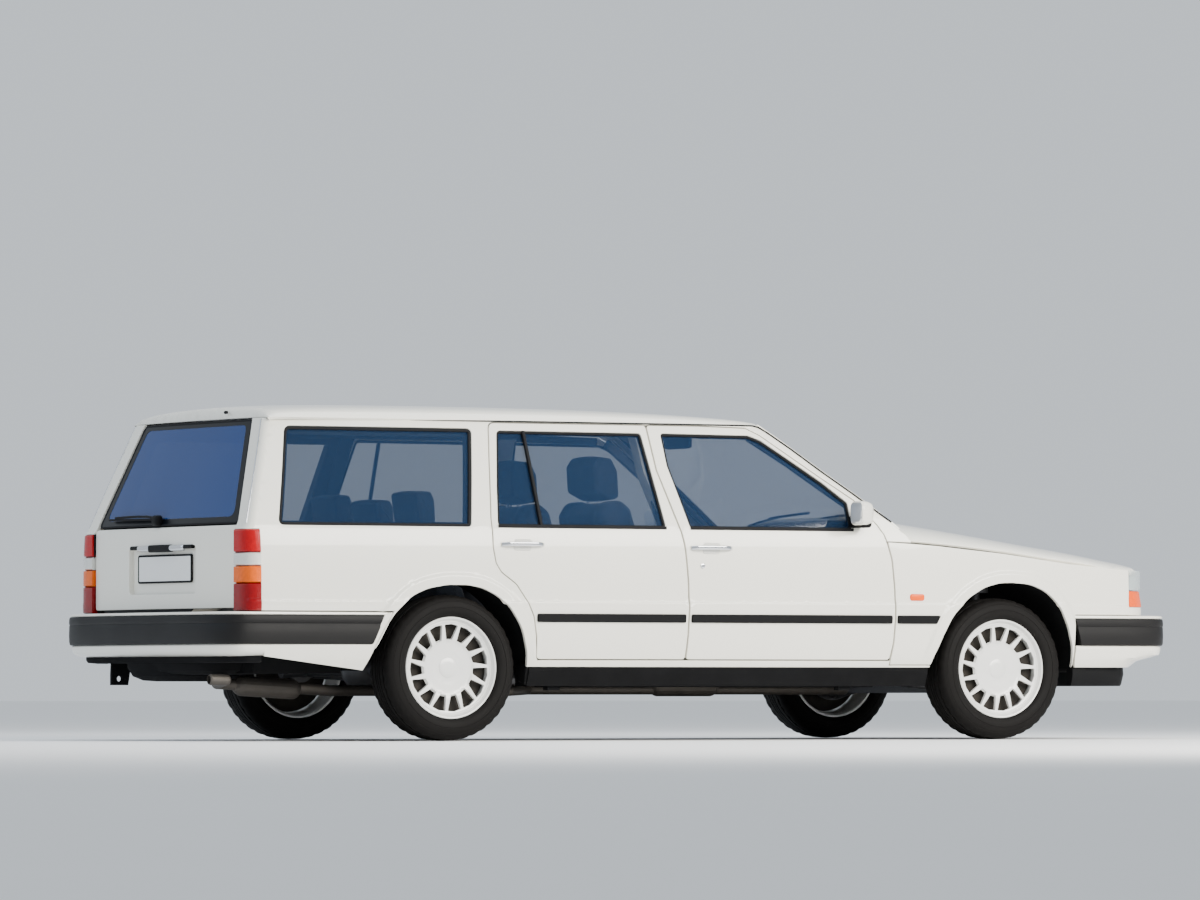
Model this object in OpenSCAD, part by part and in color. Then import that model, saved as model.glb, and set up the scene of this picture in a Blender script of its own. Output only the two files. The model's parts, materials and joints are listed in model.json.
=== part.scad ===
// Full-size five-door station wagon, built from separate panels, lamps, glass, seats and running gear.
// Row frame: +X forward, +Y to the car's left, +Z up, origin on the ground under the middle of the car.
// Inside the modules x is measured forward from the rear axle, and x_mid moves the finished piece to the row frame.

/* [Wheels] */
// Distance between the axles
wheelbase = 2770; // [2750:5:2790]
// Distance between the middles of the tyres on one axle
track = 1470; // [1460:2:1480]
// Outside radius of a tyre
tyre_r = 314; // [310:1:316]
// Width of a tyre
tyre_w = 203; // [196:1:206]
// Outside radius of the rim flange
rim_r = 220; // [214:1:222]
// Number of slots round a rim
rim_slots = 15; // [12:1:15]

/* [Body] */
// Front overhang, from the front axle to the bumper
front_overhang = 985; // [980:1:990]
// Rear overhang, from the rear axle to the bumper
rear_overhang = 1125; // [1120:1:1130]
// Thickness of an outer panel
skin = 14; // [12:1:15]
// Whole thickness of a wall or pillar
wall = 58; // [54:1:62]
// Whole thickness of a door below its window
door_t = 82; // [76:1:84]
// Gap round a moving panel
gap = 8; // [7:0.5:9]

/* [Openings] */
// Half-width of the tailgate at the belt
gate_w = 700; // [694:1:704]
// Half-width of the tailgate at its top
gate_w_top = 530; // [524:1:534]

/* [Hidden] */
$fn = 64;
x_mid = -(wheelbase + front_overhang - rear_overhang) / 2;
paint = [0.90, 0.89, 0.84];
black = [0.07, 0.07, 0.08];
glass = [0.25, 0.35, 0.45, 0.5];
axle_f = wheelbase;
kingpin_y = 640;
belt = 925;

// Half cross-section of the body: columns z, y, from the sill up and over the roof.
SEC = [[190, 800], [318, 838], [345, 850], [420, 862], [520, 870], [600, 874], [620, 871], [760, 868], [860, 860],
    [905, 852], [925, 838], [1340, 692], [1385, 676], [1410, 655], [1432, 600], [1447, 480], [1459, 250], [1463, 0]];
// Plan of the body: columns x, y, from the rear face round to the nose.
PLAN = [[-985, 0], [-985, 760], [-970, 815], [-940, 838], [-600, 850], [0, 862], [600, 872], [1200, 875], [1900, 874],
    [2600, 866], [3100, 852], [3430, 835], [3530, 780], [3585, 690], [3615, 500], [3630, 250], [3636, 0]];
// Height of the roof along the car: columns x, z.
ROOF = [[-802, 1392], [-797, 1424], [-760, 1442], [-600, 1454], [-300, 1461], [200, 1463], [700, 1460], [1100, 1451], [1400, 1436], [1560, 1421], [1600, 1410]];
// Bonnet stations: columns x, z on the middle line, z at the shoulder, z at the wing, half-width.
HOOD = [[2262, 1000, 985, 880, 832], [2420, 975, 955, 869, 838], [2600, 949, 930, 853, 840], [2800, 919, 900, 835, 838],
    [3000, 889, 871, 813, 834], [3200, 860, 843, 789, 828], [3350, 836, 819, 771, 820], [3450, 817, 800, 764, 800],
    [3530, 796, 781, 760, 752], [3572, 775, 764, 757, 690]];
// Outlines in side view: columns x, z.
FRONT_DOOR = [[1142, 352], [2172, 352], [2188, 430], [2194, 530], [2190, 662], [2178, 795], [2156, 874], [2146, 900], [2120, 930],
    [2023, 1052], [1873, 1150], [1739, 1242], [1600, 1338], [1572, 1358], [1535, 1371], [1300, 1377], [1040, 1377], [1052, 1180],
    [1124, 911], [1136, 839], [1147, 708], [1152, 577], [1149, 460]];
REAR_DOOR = [[404, 352], [1133, 352], [1142, 460], [1145, 577], [1140, 708], [1129, 839], [1117, 911], [1098, 980], [1045, 1180], [1033, 1377],
    [262, 1377], [232, 1200], [195, 960], [191, 880], [191, 831], [202, 767], [227, 728], [299, 677], [355, 599], [386, 535], [400, 450]];
FRONT_WIN = [[1170, 930], [2060, 930], [1984, 1040], [1871, 1136], [1736, 1228], [1601, 1318], [1575, 1332], [1544, 1338], [1104, 1341], [1108, 1200]];
REAR_WIN = [[224, 930], [1044, 930], [1022, 1130], [1000, 1340], [296, 1340], [250, 1100]];
QUARTER_WIN = [[-817, 930], [85, 930], [128, 1150], [164, 1344], [-717, 1344], [-770, 1120]];
REAR_ARCH = [[-424, 302], [-378, 400], [-330, 500], [-289, 560], [-211, 628], [-130, 660], [-40, 672], [60, 671], [133, 657],
    [200, 628], [260, 580], [323, 490], [353, 378], [362, 302], [362, 150], [-424, 150]];
FRONT_ARCH = [[2385, 300], [2400, 360], [2445, 459], [2495, 550], [2575, 632], [2660, 680], [2740, 698], [2806, 701], [2901, 692],
    [2996, 660], [3060, 600], [3110, 505], [3130, 420], [3146, 340], [3146, 150], [2385, 150]];
SCREEN = [[2252, 985], [1610, 1398]];  // plane of the windscreen, base and top
GATE = [[-982, 566], [-982, 905], [-966, 925], [-814, 1382]];  // rear face in side view

function y_out(z) = lookup(z, SEC);
// Points of a table grown or shrunk by d, as the section and plan of the body's inner faces.
function sec_in(d) = [for (p = SEC) [max(0, p[1] - d), p[0] - d * max(0, min(1, (p[0] - 1385) / 70))]];
function plan_in(d) = [for (p = PLAN) [p[0] > 3400 ? p[0] - d : p[0] < -900 ? p[0] + d : p[0], max(0, p[1] - d)]];
function both(half) = concat(half, [for (i = [len(half) - 1 : -1 : 0]) [half[i][0], -half[i][1]]]);
function flip(pts) = [for (p = pts) [-p[0], p[1]]];
function mid_of(pts) = [for (k = [0, 1]) [for (p = pts) p[k]] * [for (p = pts) 1] / len(pts)];
// Outline moved outward by d (inward where d is negative), corner by corner; a and b are the ends of the two sides that meet.
function side_n(a, b) = let (v = b - a, l = norm(v)) [v[1], -v[0]] / l;
function grow(pts, d) = [for (i = [0 : len(pts) - 1]) let (a = pts[(i + len(pts) - 1) % len(pts)], p = pts[i], b = pts[(i + 1) % len(pts)],
    n = side_n(a, p), m = side_n(p, b)) p + d * (n + m) / (1 + n * m)];
function up(table, dz) = [for (p = table) [p[0], p[1] + dz]];

module prism_x(pts, xa, xb) translate([xa, 0, 0]) rotate([90, 0, 90]) linear_extrude(height = xb - xa) polygon(pts);
module prism_y(pts, ya, yb) translate([0, yb, 0]) rotate([90, 0, 0]) linear_extrude(height = yb - ya) polygon(pts);
module prism_z(pts, za, zb) translate([0, 0, za]) linear_extrude(height = zb - za) polygon(pts);
module box(x, y, z) translate([x[0], y[0], z[0]]) cube([x[1] - x[0], y[1] - y[0], z[1] - z[0]]);
module tube_y(r, ya, yb) translate([0, ya, 0]) rotate([-90, 0, 0]) cylinder(r = r, h = yb - ya);
module rod(a, b, r) let (v = b - a, l = norm(v)) translate(a) rotate([0, acos(v[2] / l), atan2(v[1], v[0])]) cylinder(r = r, h = l);
// The body's whole envelope, shrunk by d, between two x stations and two heights.
module envelope(d, xa, xb, za, zb) intersection() {
    prism_x(concat(sec_in(d), [for (i = [len(SEC) - 1 : -1 : 0]) [-sec_in(d)[i][0], sec_in(d)[i][1]]]), xa, xb);
    prism_z(both(plan_in(d)), za, zb);
}
// A piece of the body's side, from depth d0 to depth d1 under the outer face, cut to an outline in side view. s is -1 on the right and 1 on the left.
module side_piece(pts, d0, d1, s) let (xs = [for (p = pts) p[0]], zs = [for (p = pts) p[1]]) intersection() {
    prism_y(pts, s > 0 ? 300 : -1000, s > 0 ? 1000 : -300);
    difference() {
        envelope(d0, min(xs) - 5, max(xs) + 5, min(zs) - 5, max(zs) + 5);
        envelope(d1, min(xs) - 10, max(xs) + 10, min(zs) - 10, max(zs) + 10);
    }
}
// A flat or curved bar with its outer edge along a plan table, w thick.
module plan_bar(pts, w, za, zb) difference() {
    prism_z(both(pts), za, zb);
    prism_z(both([for (p = pts) [p[0] - (p[0] > 0 ? w : -w), max(0, p[1] - w)]]), za - 1, zb + 1);
}
module at_mid() translate([x_mid, 0, 0]) children();

// ---- body structure ----
DOORS_IN = [grow(FRONT_DOOR, 0), grow(REAR_DOOR, 0)];
FRONT_BOX = [[1196, 400], [2120, 400], [2136, 600], [2118, 800], [2095, 905], [1200, 905], [1206, 700]];
REAR_BOX = [[470, 400], [1085, 400], [1092, 600], [1085, 800], [1072, 905], [245, 905], [250, 800], [330, 740], [410, 640], [455, 530]];
SIDE = [[-936, 905], [-924, 905], [-924, 553], [-296, 553], [360, 330], [2290, 330], [2290, 868], [2262, 905],
    [2190, 962], [2028, 1080], [1880, 1182], [1747, 1280], [1592, 1388], [-797, 1388], [-936, 940]];
module body_side(s) color(paint) at_mid() {
    difference() {
        side_piece(SIDE, 0, wall, s);
        // rebates for the doors' skins, wider where a frame swings back, then the openings behind them
        side_piece([[250, 1385], [280, 1385], [240, 1100], [210, 935], [183, 935], [219, 1200]], -5, 24, s);
        side_piece([for (p = grow(FRONT_DOOR, gap)) p], -5, 24, s);
        side_piece([for (p = grow(REAR_DOOR, gap)) p], -5, 24, s);
        prism_y(grow(FRONT_BOX, gap + 4), s > 0 ? 300 : -1000, s > 0 ? 1000 : -300);
        prism_y(grow(REAR_BOX, gap + 4), s > 0 ? 300 : -1000, s > 0 ? 1000 : -300);
        prism_y(grow(FRONT_WIN, 8), s > 0 ? 300 : -1000, s > 0 ? 1000 : -300);
        prism_y(grow(REAR_WIN, 8), s > 0 ? 300 : -1000, s > 0 ? 1000 : -300);
        box([1150, 2110], s > 0 ? [300, 1000] : [-1000, -300], [890, 940]);
        box([238, 1060], s > 0 ? [300, 1000] : [-1000, -300], [890, 940]);
        prism_y(QUARTER_WIN, s > 0 ? 300 : -1000, s > 0 ? 1000 : -300);
        prism_y(REAR_ARCH, s > 0 ? 300 : -1000, s > 0 ? 1000 : -300);
        // ahead of the door the outer skin is the wing's
        side_piece(grow(WING, 2), -5, skin + 3, s);
        mirror([0, s > 0 ? 0 : 1, 0]) prism_x([[0, 550], [gate_w + gap, 550], [gate_w + gap, 918], [gate_w_top + 2 * gap, 1389], [0, 1389]], -1000, -700);
        box([2188, 2400], s > 0 ? [300, 1000] : [-1000, -300], [200, 960]);
    }
    // corner post beside the tailgate
    intersection() {
        envelope(0, -990, -700, 900, 1400);
        prism_y([[-980, 906], [-960, 930], [-812, 1388], [-752, 1388], [-905, 930], [-920, 906]], s > 0 ? 300 : -1000, s > 0 ? 1000 : -300);
        mirror([0, s > 0 ? 0 : 1, 0]) prism_x([[gate_w + gap, 900], [gate_w + gap, 918], [gate_w_top + gap + 8, 1388], [900, 1388], [900, 900]], -990, -700);
    }
    // wheel housing
    intersection() {
        difference() {
            tube_y_at(0, tyre_r, 402, s > 0 ? 590 : -wall_y(), s > 0 ? wall_y() : -590);
            tube_y_at(0, tyre_r, 392, s > 0 ? 598 : -900, s > 0 ? 900 : -598);
            prism_y(REAR_ARCH, s > 0 ? 700 : -1000, s > 0 ? 1000 : -700);
            // way for the axle
            box([-60, 60], [-700, 700], [300, 372]);
        }
        box([-420, 420], s > 0 ? [500, 1000] : [-1000, -500], [330, 800]);
    }
}
function wall_y() = 862 - wall;
module tube_y_at(x, z, r, ya, yb) translate([x, 0, z]) tube_y(r, ya, yb);

module roof_panel() color(paint) at_mid() difference() {
    intersection() {
        envelope(0, -815, 1602, 1390, 1500);
        prism_y(concat([[1600, 1390], [-802, 1390]], ROOF), -700, 700);
    }
    intersection() {
        envelope(26, -790, 1560, 1380, 1500);
        prism_y(concat([[1560, 1380], [-778, 1380]], up([for (p = ROOF) if (p[0] > -790 && p[0] < 1570) p], -26)), -700, 700);
    }
}

module floor_pan() color(black) at_mid() {
    difference() {
        union() {
            // floor, heel board and load floor in one bent sheet
            intersection() {
                prism_y([[2300, 420], [2120, 262], [800, 262], [760, 300], [640, 400], [120, 400], [60, 520], [-900, 520], [-900, 492],
                    [40, 492], [100, 370], [630, 370], [740, 275], [790, 232], [2140, 232], [2320, 398]], -770, 770);
                prism_z(both([[2330, 0], [2330, 770], [-380, 770], [-400, 712], [-905, 712], [-905, 0]]), 200, 600);
            }
            box([620, 2296], [-140, 140], [262, 400]);
        }
        // tunnel for the propeller shaft and the exhaust
        box([560, 2340], [-115, 115], [200, 375]);
        for (s = [-1, 1]) tube_y_at(0, tyre_r, 404, s > 0 ? 586 : -900, s > 0 ? 900 : -586);
        for (s = [-1, 1]) box([2135, 2500], s > 0 ? [440, 900] : [-900, -440], [200, 700]);
    }
    // sills
    for (s = [-1, 1]) side_sill(s);
    // spare wheel well and fuel tank under the load floor
    box([-860, -440], [-640, -60], [290, 492]);
    box([-860, -300], [60, 560], [300, 492]);
    // rear towing eye
    difference() {
        prism_y([[-1000, 240], [-920, 240], [-880, 500], [-990, 500], [-1000, 290]], 471, 489);
        translate([-962, 0, 268]) tube_y(13, 460, 500);
    }
    // jacking pads
    for (x = [520, 1980], s = [-1, 1]) box([x - 30, x + 30], s > 0 ? [745, 785] : [-785, -745], [218, 250]);
}
module side_sill(s) mirror([0, s > 0 ? 0 : 1, 0]) intersection() {
    prism_x([[700, 236], [806, 236], [838, 322], [838, 328], [700, 328]], 376, 2384);
    prism_z([[370, 600], [2390, 600], [2390, 828], [1900, 837], [1200, 838], [600, 834], [370, 828]], 200, 340);
}

module bulkhead() color(black) at_mid() difference() {
    union() {
        prism_y([[2300, 424], [2330, 424], [2330, 880], [2300, 880]], -766, 766);
        // cowl under the windscreen's foot
        prism_y([[2190, 880], [2330, 880], [2330, 900], [2268, 924], [2215, 924], [2190, 905]], -754, 754);
        prism_y([[2232, 920], [2264, 920], [2256, 966], [2240, 966]], -380, 380);
    }
    box([2250, 2400], [440, 900], [400, 660]);
    box([2250, 2400], [-900, -440], [400, 660]);
}

module inner_wings() color(black) at_mid() {
    for (s = [-1, 1]) mirror([0, s > 0 ? 0 : 1, 0]) {
        // longitudinal rail, housing wall and strut tower
        box([2336, 3480], [400, 440], [300, 440]);
        box([2336, 3480], [424, 440], [440, 700]);
        prism_y([[2336, 720], [2336, 700], [2480, 700], [3060, 700], [3400, 660], [3400, 680], [3060, 720]], 424, 810);
        box([2690, 2850], [480, 690], [721, 850]);
    }
    // front towing eye on the left rail
    difference() {
        prism_y([[3380, 310], [3425, 188], [3500, 188], [3500, 236], [3470, 310]], 411, 429);
        translate([3462, 0, 212]) tube_y(13, 400, 440);
    }
    // radiator panel
    box([3400, 3440], [-680, 680], [660, 740]);
    box([3400, 3440], [-399, 399], [300, 400]);
    box([3400, 3430], [-680, -300], [400, 660]);
    box([3400, 3430], [300, 680], [400, 660]);
    box([3404, 3436], [-300, 300], [400, 660]);
}

WING = [[2163, 874], [2187, 795], [2199, 662], [2203, 530], [2197, 430], [2181, 345], [2181, 330], [2390, 330], [3146, 556], [3588, 556],
    [3588, 590], [3440, 590], [3440, 758], [3350, 764], [3123, 783], [2770, 826], [2423, 858], [2251, 868]];
module wing(s) color(paint) at_mid() difference() {
    side_piece(WING, 0, skin, s);
    prism_y(FRONT_ARCH, s > 0 ? 300 : -1000, s > 0 ? 1000 : -300);
    // panel stops beside the lamps and grille
    box([3440, 3700], s > 0 ? [200, 640] : [-640, -200], [500, 800]);
}

// Bumpers: plan tables of the band, columns x, y.
FRONT_BAR = [[3755, 0], [3750, 250], [3736, 480], [3712, 640], [3672, 750], [3600, 822], [3440, 850], [3152, 858]];
REAR_BAR = [[-1125, 0], [-1120, 300], [-1108, 560], [-1090, 700], [-1055, 790], [-1000, 836], [-930, 846], [-300, 852]];
function shrink(t, d) = [for (p = t) [p[0] - (p[0] > 0 ? d : -d) * (abs(p[0]) > 900 ? 1 : 0), max(0, p[1] - d)]];
function tail(t, x) = concat([for (p = t) if (abs(p[0]) > abs(x) + 1) p], [[x, t[len(t) - 1][1]], [x, 0]]);
module front_bumper() at_mid() {
    color(paint) difference() {
        union() {
            prism_z(both(tail(shrink(FRONT_BAR, 6), 3138)), 538, 552);
            prism_z(both(tail(shrink(FRONT_BAR, 16), 3148)), 366, 418);
            prism_z(both(tail([[3640, 0], [3620, 400], [3560, 640], [3480, 760], [3400, 818], [3160, 822]], 3150)), 320, 366);
            color(black) prism_z(both(tail(FRONT_BAR, 3142)), 418, 538);
            color(black) prism_z(both(tail([[3600, 0], [3580, 400], [3520, 620], [3440, 760], [3160, 800]], 3160)), 236, 320);
        }
        prism_z(both([[3560, 0], [3560, 560], [3440, 700], [3100, 805], [3100, 0]]), 200, 560);
        prism_y(FRONT_ARCH, -1000, 1000);
    }
}
module rear_bumper() at_mid() {
    color(paint) difference() {
        union() {
            prism_z(both(tail(shrink(REAR_BAR, 6), -296)), 538, 550);
            prism_z(both(tail(shrink(REAR_BAR, 14), -300)), 366, 414);
            color(black) prism_z(both(tail(REAR_BAR, -330)), 414, 538);
            prism_z(both(tail([[-1060, 0], [-1040, 600], [-980, 790], [-900, 820], [-420, 832]], -400)), 306, 366);
        }
        prism_z(both([[-1000, 0], [-1000, 560], [-930, 740], [-420, 808], [-200, 808], [-200, 0]]), 200, 560);
        prism_y(REAR_ARCH, -1000, 1000);
        // the skirt rises to the rear
        prism_y([[-1200, 366], [-900, 345], [-700, 325], [-430, 290], [-1200, 290]], -1000, 1000);
    }
}

module grille() color([0.5, 0.5, 0.5]) at_mid() {
    difference() {
        box([3596, 3632], [-262, 262], [592, 746]);
        box([3612, 3640], [-244, 244], [610, 728]);
    }
    for (i = [-7 : 7]) box([3611, 3624], [i * 32 - 3, i * 32 + 3], [609, 729]);
    box([3560, 3600], [-640, 640], [556, 590]);
}
module headlamps() color([0.8, 0.85, 0.88]) at_mid() for (s = [-1, 1]) intersection() {
    difference() {
        prism_z(both(PLAN), 592, 757);
        prism_z(both(plan_in(70)), 500, 800);
        prism_y([[3700, 592], [3640, 592], [3608, 757], [3700, 757]], -900, 900);
        box([3400, 3584], [-900, 900], [734, 760]);
    }
    union() {
        box([3500, 3700], s > 0 ? [266, 900] : [-900, -266], [592, 757]);
        box([3443, 3700], s > 0 ? [600, 900] : [-900, -600], [668, 757]);
    }
    difference() {
        box([3443, 3700], s > 0 ? [266, 900] : [-900, -266], [592, 757]);
        box([3443, 3700], s > 0 ? [637, 900] : [-900, -637], [592, 668]);
    }
}
module front_indicators() color([0.9, 0.4, 0.1]) at_mid() for (s = [-1, 1]) intersection() {
    difference() {
        prism_z(both(PLAN), 592, 665);
        prism_z(both(plan_in(60)), 500, 800);
    }
    box([3443, 3700], s > 0 ? [640, 900] : [-900, -640], [592, 665]);
}
module tail_lamps() color([0.75, 0.05, 0.05]) at_mid() for (s = [-1, 1]) intersection() {
    difference() {
        envelope(0, -990, -928, 555, 900);
        envelope(56, -1000, -900, 500, 950);
    }
    box([-990, -928], s > 0 ? [gate_w + 8, 900] : [-900, -gate_w - 8], [555, 900]);
}

// Windscreen section across the car: columns y, distance behind the middle of the glass.
BEND = [[0, 0], [200, 2], [380, 8], [520, 18], [640, 34], [760, 58]];
module windscreen() color(glass) at_mid() intersection() {
    translate([SCREEN[0][0], 0, SCREEN[0][1]]) rotate([0, atan2(SCREEN[1][0] - SCREEN[0][0], SCREEN[1][1] - SCREEN[0][1]), 0])
        linear_extrude(height = norm(SCREEN[1] - SCREEN[0])) polygon(concat([for (i = [len(BEND) - 1 : -1 : 1]) [-BEND[i][1], -BEND[i][0]]], [for (p = BEND) [-p[1], p[0]]],
            [for (i = [len(BEND) - 1 : -1 : 1]) [-BEND[i][1] - 6, BEND[i][0]]], [for (p = BEND) [-p[1] - 6, -p[0]]]));
    envelope(wall + 6, 1500, 2400, 900, 1450);
}
module quarter_glass() color(glass) at_mid() for (s = [-1, 1]) side_piece(grow(QUARTER_WIN, -1), 12, 17, s);

module dashboard() color(black) at_mid() prism_y([[1900, 560], [2296, 560], [2296, 876], [2186, 876], [2100, 900], [1960, 890], [1880, 820], [1850, 700]], -750, 750);
module steering_wheel() color(black) at_mid() {
    translate([1730, 360, 800]) rotate([0, -65, 0]) rotate_extrude() translate([188, 0]) circle(r = 14);
    translate([1730, 360, 800]) rotate([0, 115, 0]) for (a = [0, 120, 240]) rotate([0, 0, a]) translate([0, -15, -6]) cube([176, 30, 12]);
    translate([1730, 360, 800]) rotate([0, 115, 0]) translate([0, 0, -22]) cylinder(r = 62, h = 44);
    rod([1745, 360, 793], [1871, 360, 734], 24);
}

// A seat: columns x, z of its cushion and of its backrest in side view.
CUSHION = [[0, 0], [520, 20], [530, 110], [470, 150], [60, 105], [0, 100]];
BACKREST = [[0, 100], [80, 110], [-90, 690], [-190, 700], [-225, 640], [-60, 100]];
module seat(x, y, w, z) translate([x, y, z]) {
    prism_y(CUSHION, -w / 2, w / 2);
    prism_y(BACKREST, -w / 2, w / 2);
}
module headrest(x, y, z, w) translate([x, y, z]) {
    prism_y([[-10, 0], [70, 0], [40, 190], [-60, 190], [-70, 60]], -w / 2, w / 2);
    for (s = [-1, 1]) translate([15, s * 50, -60]) cylinder(r = 6, h = 62);
}
module front_seats() color([0.35, 0.38, 0.42]) at_mid() for (s = [-1, 1]) {
    seat(1090, s * 375, 460, 330);
    headrest(935, s * 375, 1050, 270);
    box([1110, 1590], s > 0 ? [200, 560] : [-560, -200], [262, 331]);
}
module rear_seat() color([0.35, 0.38, 0.42]) at_mid() {
    prism_y([[190, 401], [660, 401], [680, 480], [630, 530], [260, 490], [240, 500], [90, 930], [-10, 930], [60, 530]], -584, 584);
    for (s = [-1, 0, 1]) translate([30, s * 390, 929]) {
        prism_y([[-30, 0], [60, 0], [40, 150 - 30 * (1 - abs(s))], [-40, 150 - 30 * (1 - abs(s))]], -130, 130);
    }
}

module engine() color([0.3, 0.3, 0.3]) at_mid() box([2500, 3300], [-260, 260], [290, 740]);
// Exhaust route, columns x, y, z at each bend.
PIPE = [[2400, -62, 222], [780, -62, 222], [560, -300, 216], [-330, -320, 216], [-880, -330, 246], [-990, -640, 262], [-1056, -640, 262]];
module fat_line(a, b, r) hull() { translate(a) sphere(r = r, $fn = 20); translate(b) sphere(r = r, $fn = 20); }
module exhaust() color([0.4, 0.38, 0.36]) at_mid() difference() {
    union() {
        for (i = [0 : len(PIPE) - 2]) fat_line(PIPE[i], PIPE[i + 1], 24);
        // silencers under the front floor and ahead of the rear bumper
        fat_line([1440, -62, 236], [1700, -62, 236], 46);
        fat_line([-520, -324, 222], [-760, -327, 236], 44);
    }
    translate([-1120, -640, 262]) rotate([0, 90, 0]) cylinder(r = 19, h = 110, $fn = 20);
}
module rear_axle() color([0.15, 0.15, 0.16]) at_mid() {
    translate([0, 0, tyre_r]) tube_y(38, -620, 620);
    translate([0, 0, tyre_r]) sphere(r = 105);
    for (s = [-1, 1]) {
        translate([0, 0, tyre_r]) tube_y(62, s > 0 ? 612 : -640, s > 0 ? 640 : -612);
        translate([0, 0, tyre_r]) tube_y(32.5, s > 0 ? 640 : -760, s > 0 ? 760 : -640);
        // trailing arm and coil spring
        rod([0, s * 500, tyre_r - 20], [560, s * 500, 262], 24);
        translate([-150, s * 520, 306]) cylinder(r = 55, h = 184);
        rod([0, s * 520, tyre_r - 8], [-150, s * 520, 296], 26);
    }
    rod([90, 0, tyre_r], [620, 0, 330], 30);
    translate([620, 0, 330]) sphere(r = 42);
    rod([620, 0, 330], [2240, 0, 330], 32);
}
module front_suspension() color([0.15, 0.15, 0.16]) at_mid() {
    box([2700, 2840], [-398, 398], [206, 282]);
    for (s = [-1, 1]) mirror([0, s > 0 ? 0 : 1, 0]) {
        rod([2770, 390, 236], [2770, kingpin_y - 4, 196], 20);
        rod([2560, 390, 250], [2752, kingpin_y - 20, 198], 16);
        box([2540, 2700], [340, 398], [230, 282]);
        translate([2770, kingpin_y, 180]) cylinder(r = 14, h = 34);
        // strut and coil spring
        translate([2770, 592, 655]) cylinder(r = 62, h = 45);
        translate([2770, 592, 460]) cylinder(r = 24, h = 200);
    }
}

// ---- moving panels ----
HOOD_Y = [0, 300, 560, 700, 770];
function hood_pts(h, d) = concat([[h[0], 0, h[1] - d]], [for (k = [1 : 4]) let (q = HOOD_Y[k] / 770)
    [h[0], q * (h[4] - 45), h[1] + (h[2] - h[1]) * q * q * (k < 4 ? 1 : 1) - d]], [[h[0], h[4] - 18 - d * 0.5, h[2] - (h[2] - h[3]) * 0.34 - d * 0.8],
    [h[0], h[4] - d, h[3]]]);
function whole(half) = concat([for (i = [len(half) - 1 : -1 : 1]) [half[i][0], -half[i][1], half[i][2]]], half);
module bonnet() color(paint) at_mid() let (n = 13, rows = [for (h = HOOD) concat(whole(hood_pts(h, 0)), [for (i = [n - 1 : -1 : 0]) whole(hood_pts(h, 20))[i]])],
    m = 2 * n, c = len(HOOD))
    polyhedron(points = [for (r = rows) for (p = r) p],
        faces = concat([for (i = [0 : c - 2], j = [0 : m - 1]) let (a = i * m + j, b = i * m + (j + 1) % m) each [[a, b, b + m], [a, b + m, a + m]]],
            [for (j = [0 : n - 2]) each [[j, m - 1 - j, m - 2 - j], [j, m - 2 - j, j + 1]]],
            [for (j = [0 : n - 2]) let (o = (c - 1) * m) each [[o + j, o + m - 2 - j, o + m - 1 - j], [o + j, o + j + 1, o + m - 2 - j]]]));

GATE_YZ = [[gate_w, 566], [gate_w, 918], [gate_w_top, 1382]];
function half_yz(t) = concat(t, [for (i = [len(t) - 1 : -1 : 0]) [-t[i][0], t[i][1]]]);
module tailgate() color(paint) at_mid() intersection() {
    difference() {
        prism_y(concat(GATE, [[-766, 1382], [-914, 925], [-924, 900], [-924, 566]]), -720, 720);
        // recess for the plate, seat for the glass, and the window
        box([-990, -962], [-290, 290], [640, 840]);
        prism_y([[-1000, 922], [-977, 922], [-960, 922], [-806, 1384], [-900, 1400]], -720, 720);
        prism_x(half_yz([[gate_w - 62, 968], [gate_w_top - 45, 1325]]), -1000, -700);
    }
    // outer panel over the whole opening, inner frame set in from its edge
    union() {
        intersection() {
            prism_x(half_yz(GATE_YZ), -1000, -700);
            prism_y(concat(GATE, [[-798, 1382], [-950, 925], [-966, 905], [-966, 566]]), -720, 720);
        }
        prism_x(half_yz([[gate_w - 24, 590], [gate_w - 24, 912], [gate_w_top - 18, 1364]]), -1000, -700);
    }
}
module tailgate_glass() color(glass) at_mid() intersection() {
    prism_y([[-967, 925], [-814, 1382], [-809, 1382], [-962, 925]], -720, 720);
    prism_x(half_yz([[gate_w - 4, 925], [gate_w_top - 2, 1381]]), -1000, -700);
}
module number_plate() color([0.9, 0.9, 0.9]) at_mid() {
    box([-968, -962], [-240, 240], [680, 800]);
    color(black) box([-992, -962], [-285, 285], [806, 836]);
}

module door(outline, inner, win, s) {
    difference() {
        union() {
            side_piece(outline, 0, 17, s);
            side_piece(inner, 16, door_t, s);
        }
        prism_y(win, s > 0 ? 300 : -1000, s > 0 ? 1000 : -300);
    }
}
module strip(xa, xb, s) mirror([0, s > 0 ? 0 : 1, 0]) prism_z([[xa, 860], [xb, 858], [xb, 878], [xa, 880]], 512, 548);
module handle(x, z, s) mirror([0, s > 0 ? 0 : 1, 0]) {
    prism_z([[x, 855], [x, 888], [x + 205, 888], [x + 205, 855], [x + 180, 855], [x + 180, 876], [x + 25, 876], [x + 25, 855]], z - 10, z + 10);
}
module front_door(s) color(paint) at_mid() {
    door(FRONT_DOOR, FRONT_BOX, FRONT_WIN, s);
    strip(1156, 2178, s);
    handle(1160, 838, s);
}
module rear_door(s) color(paint) at_mid() {
    door(REAR_DOOR, REAR_BOX, REAR_WIN, s);
    strip(400, 1132, s);
    handle(228, 846, s);
}
module front_glass(s) color(glass) at_mid() side_piece(grow(FRONT_WIN, -1), 8, 13, s);
module rear_glass(s) color(glass) at_mid() side_piece(grow(REAR_WIN, -1), 8, 13, s);
module door_mirror(s) color(paint) at_mid() mirror([0, s > 0 ? 0 : 1, 0]) {
    prism_z([[1930, 872], [1915, 1000], [1985, 1000], [2040, 965], [2060, 872]], 945, 1052);
    prism_z([[1990, 838], [1975, 873], [2045, 873], [2052, 838]], 934, 990);
}

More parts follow.
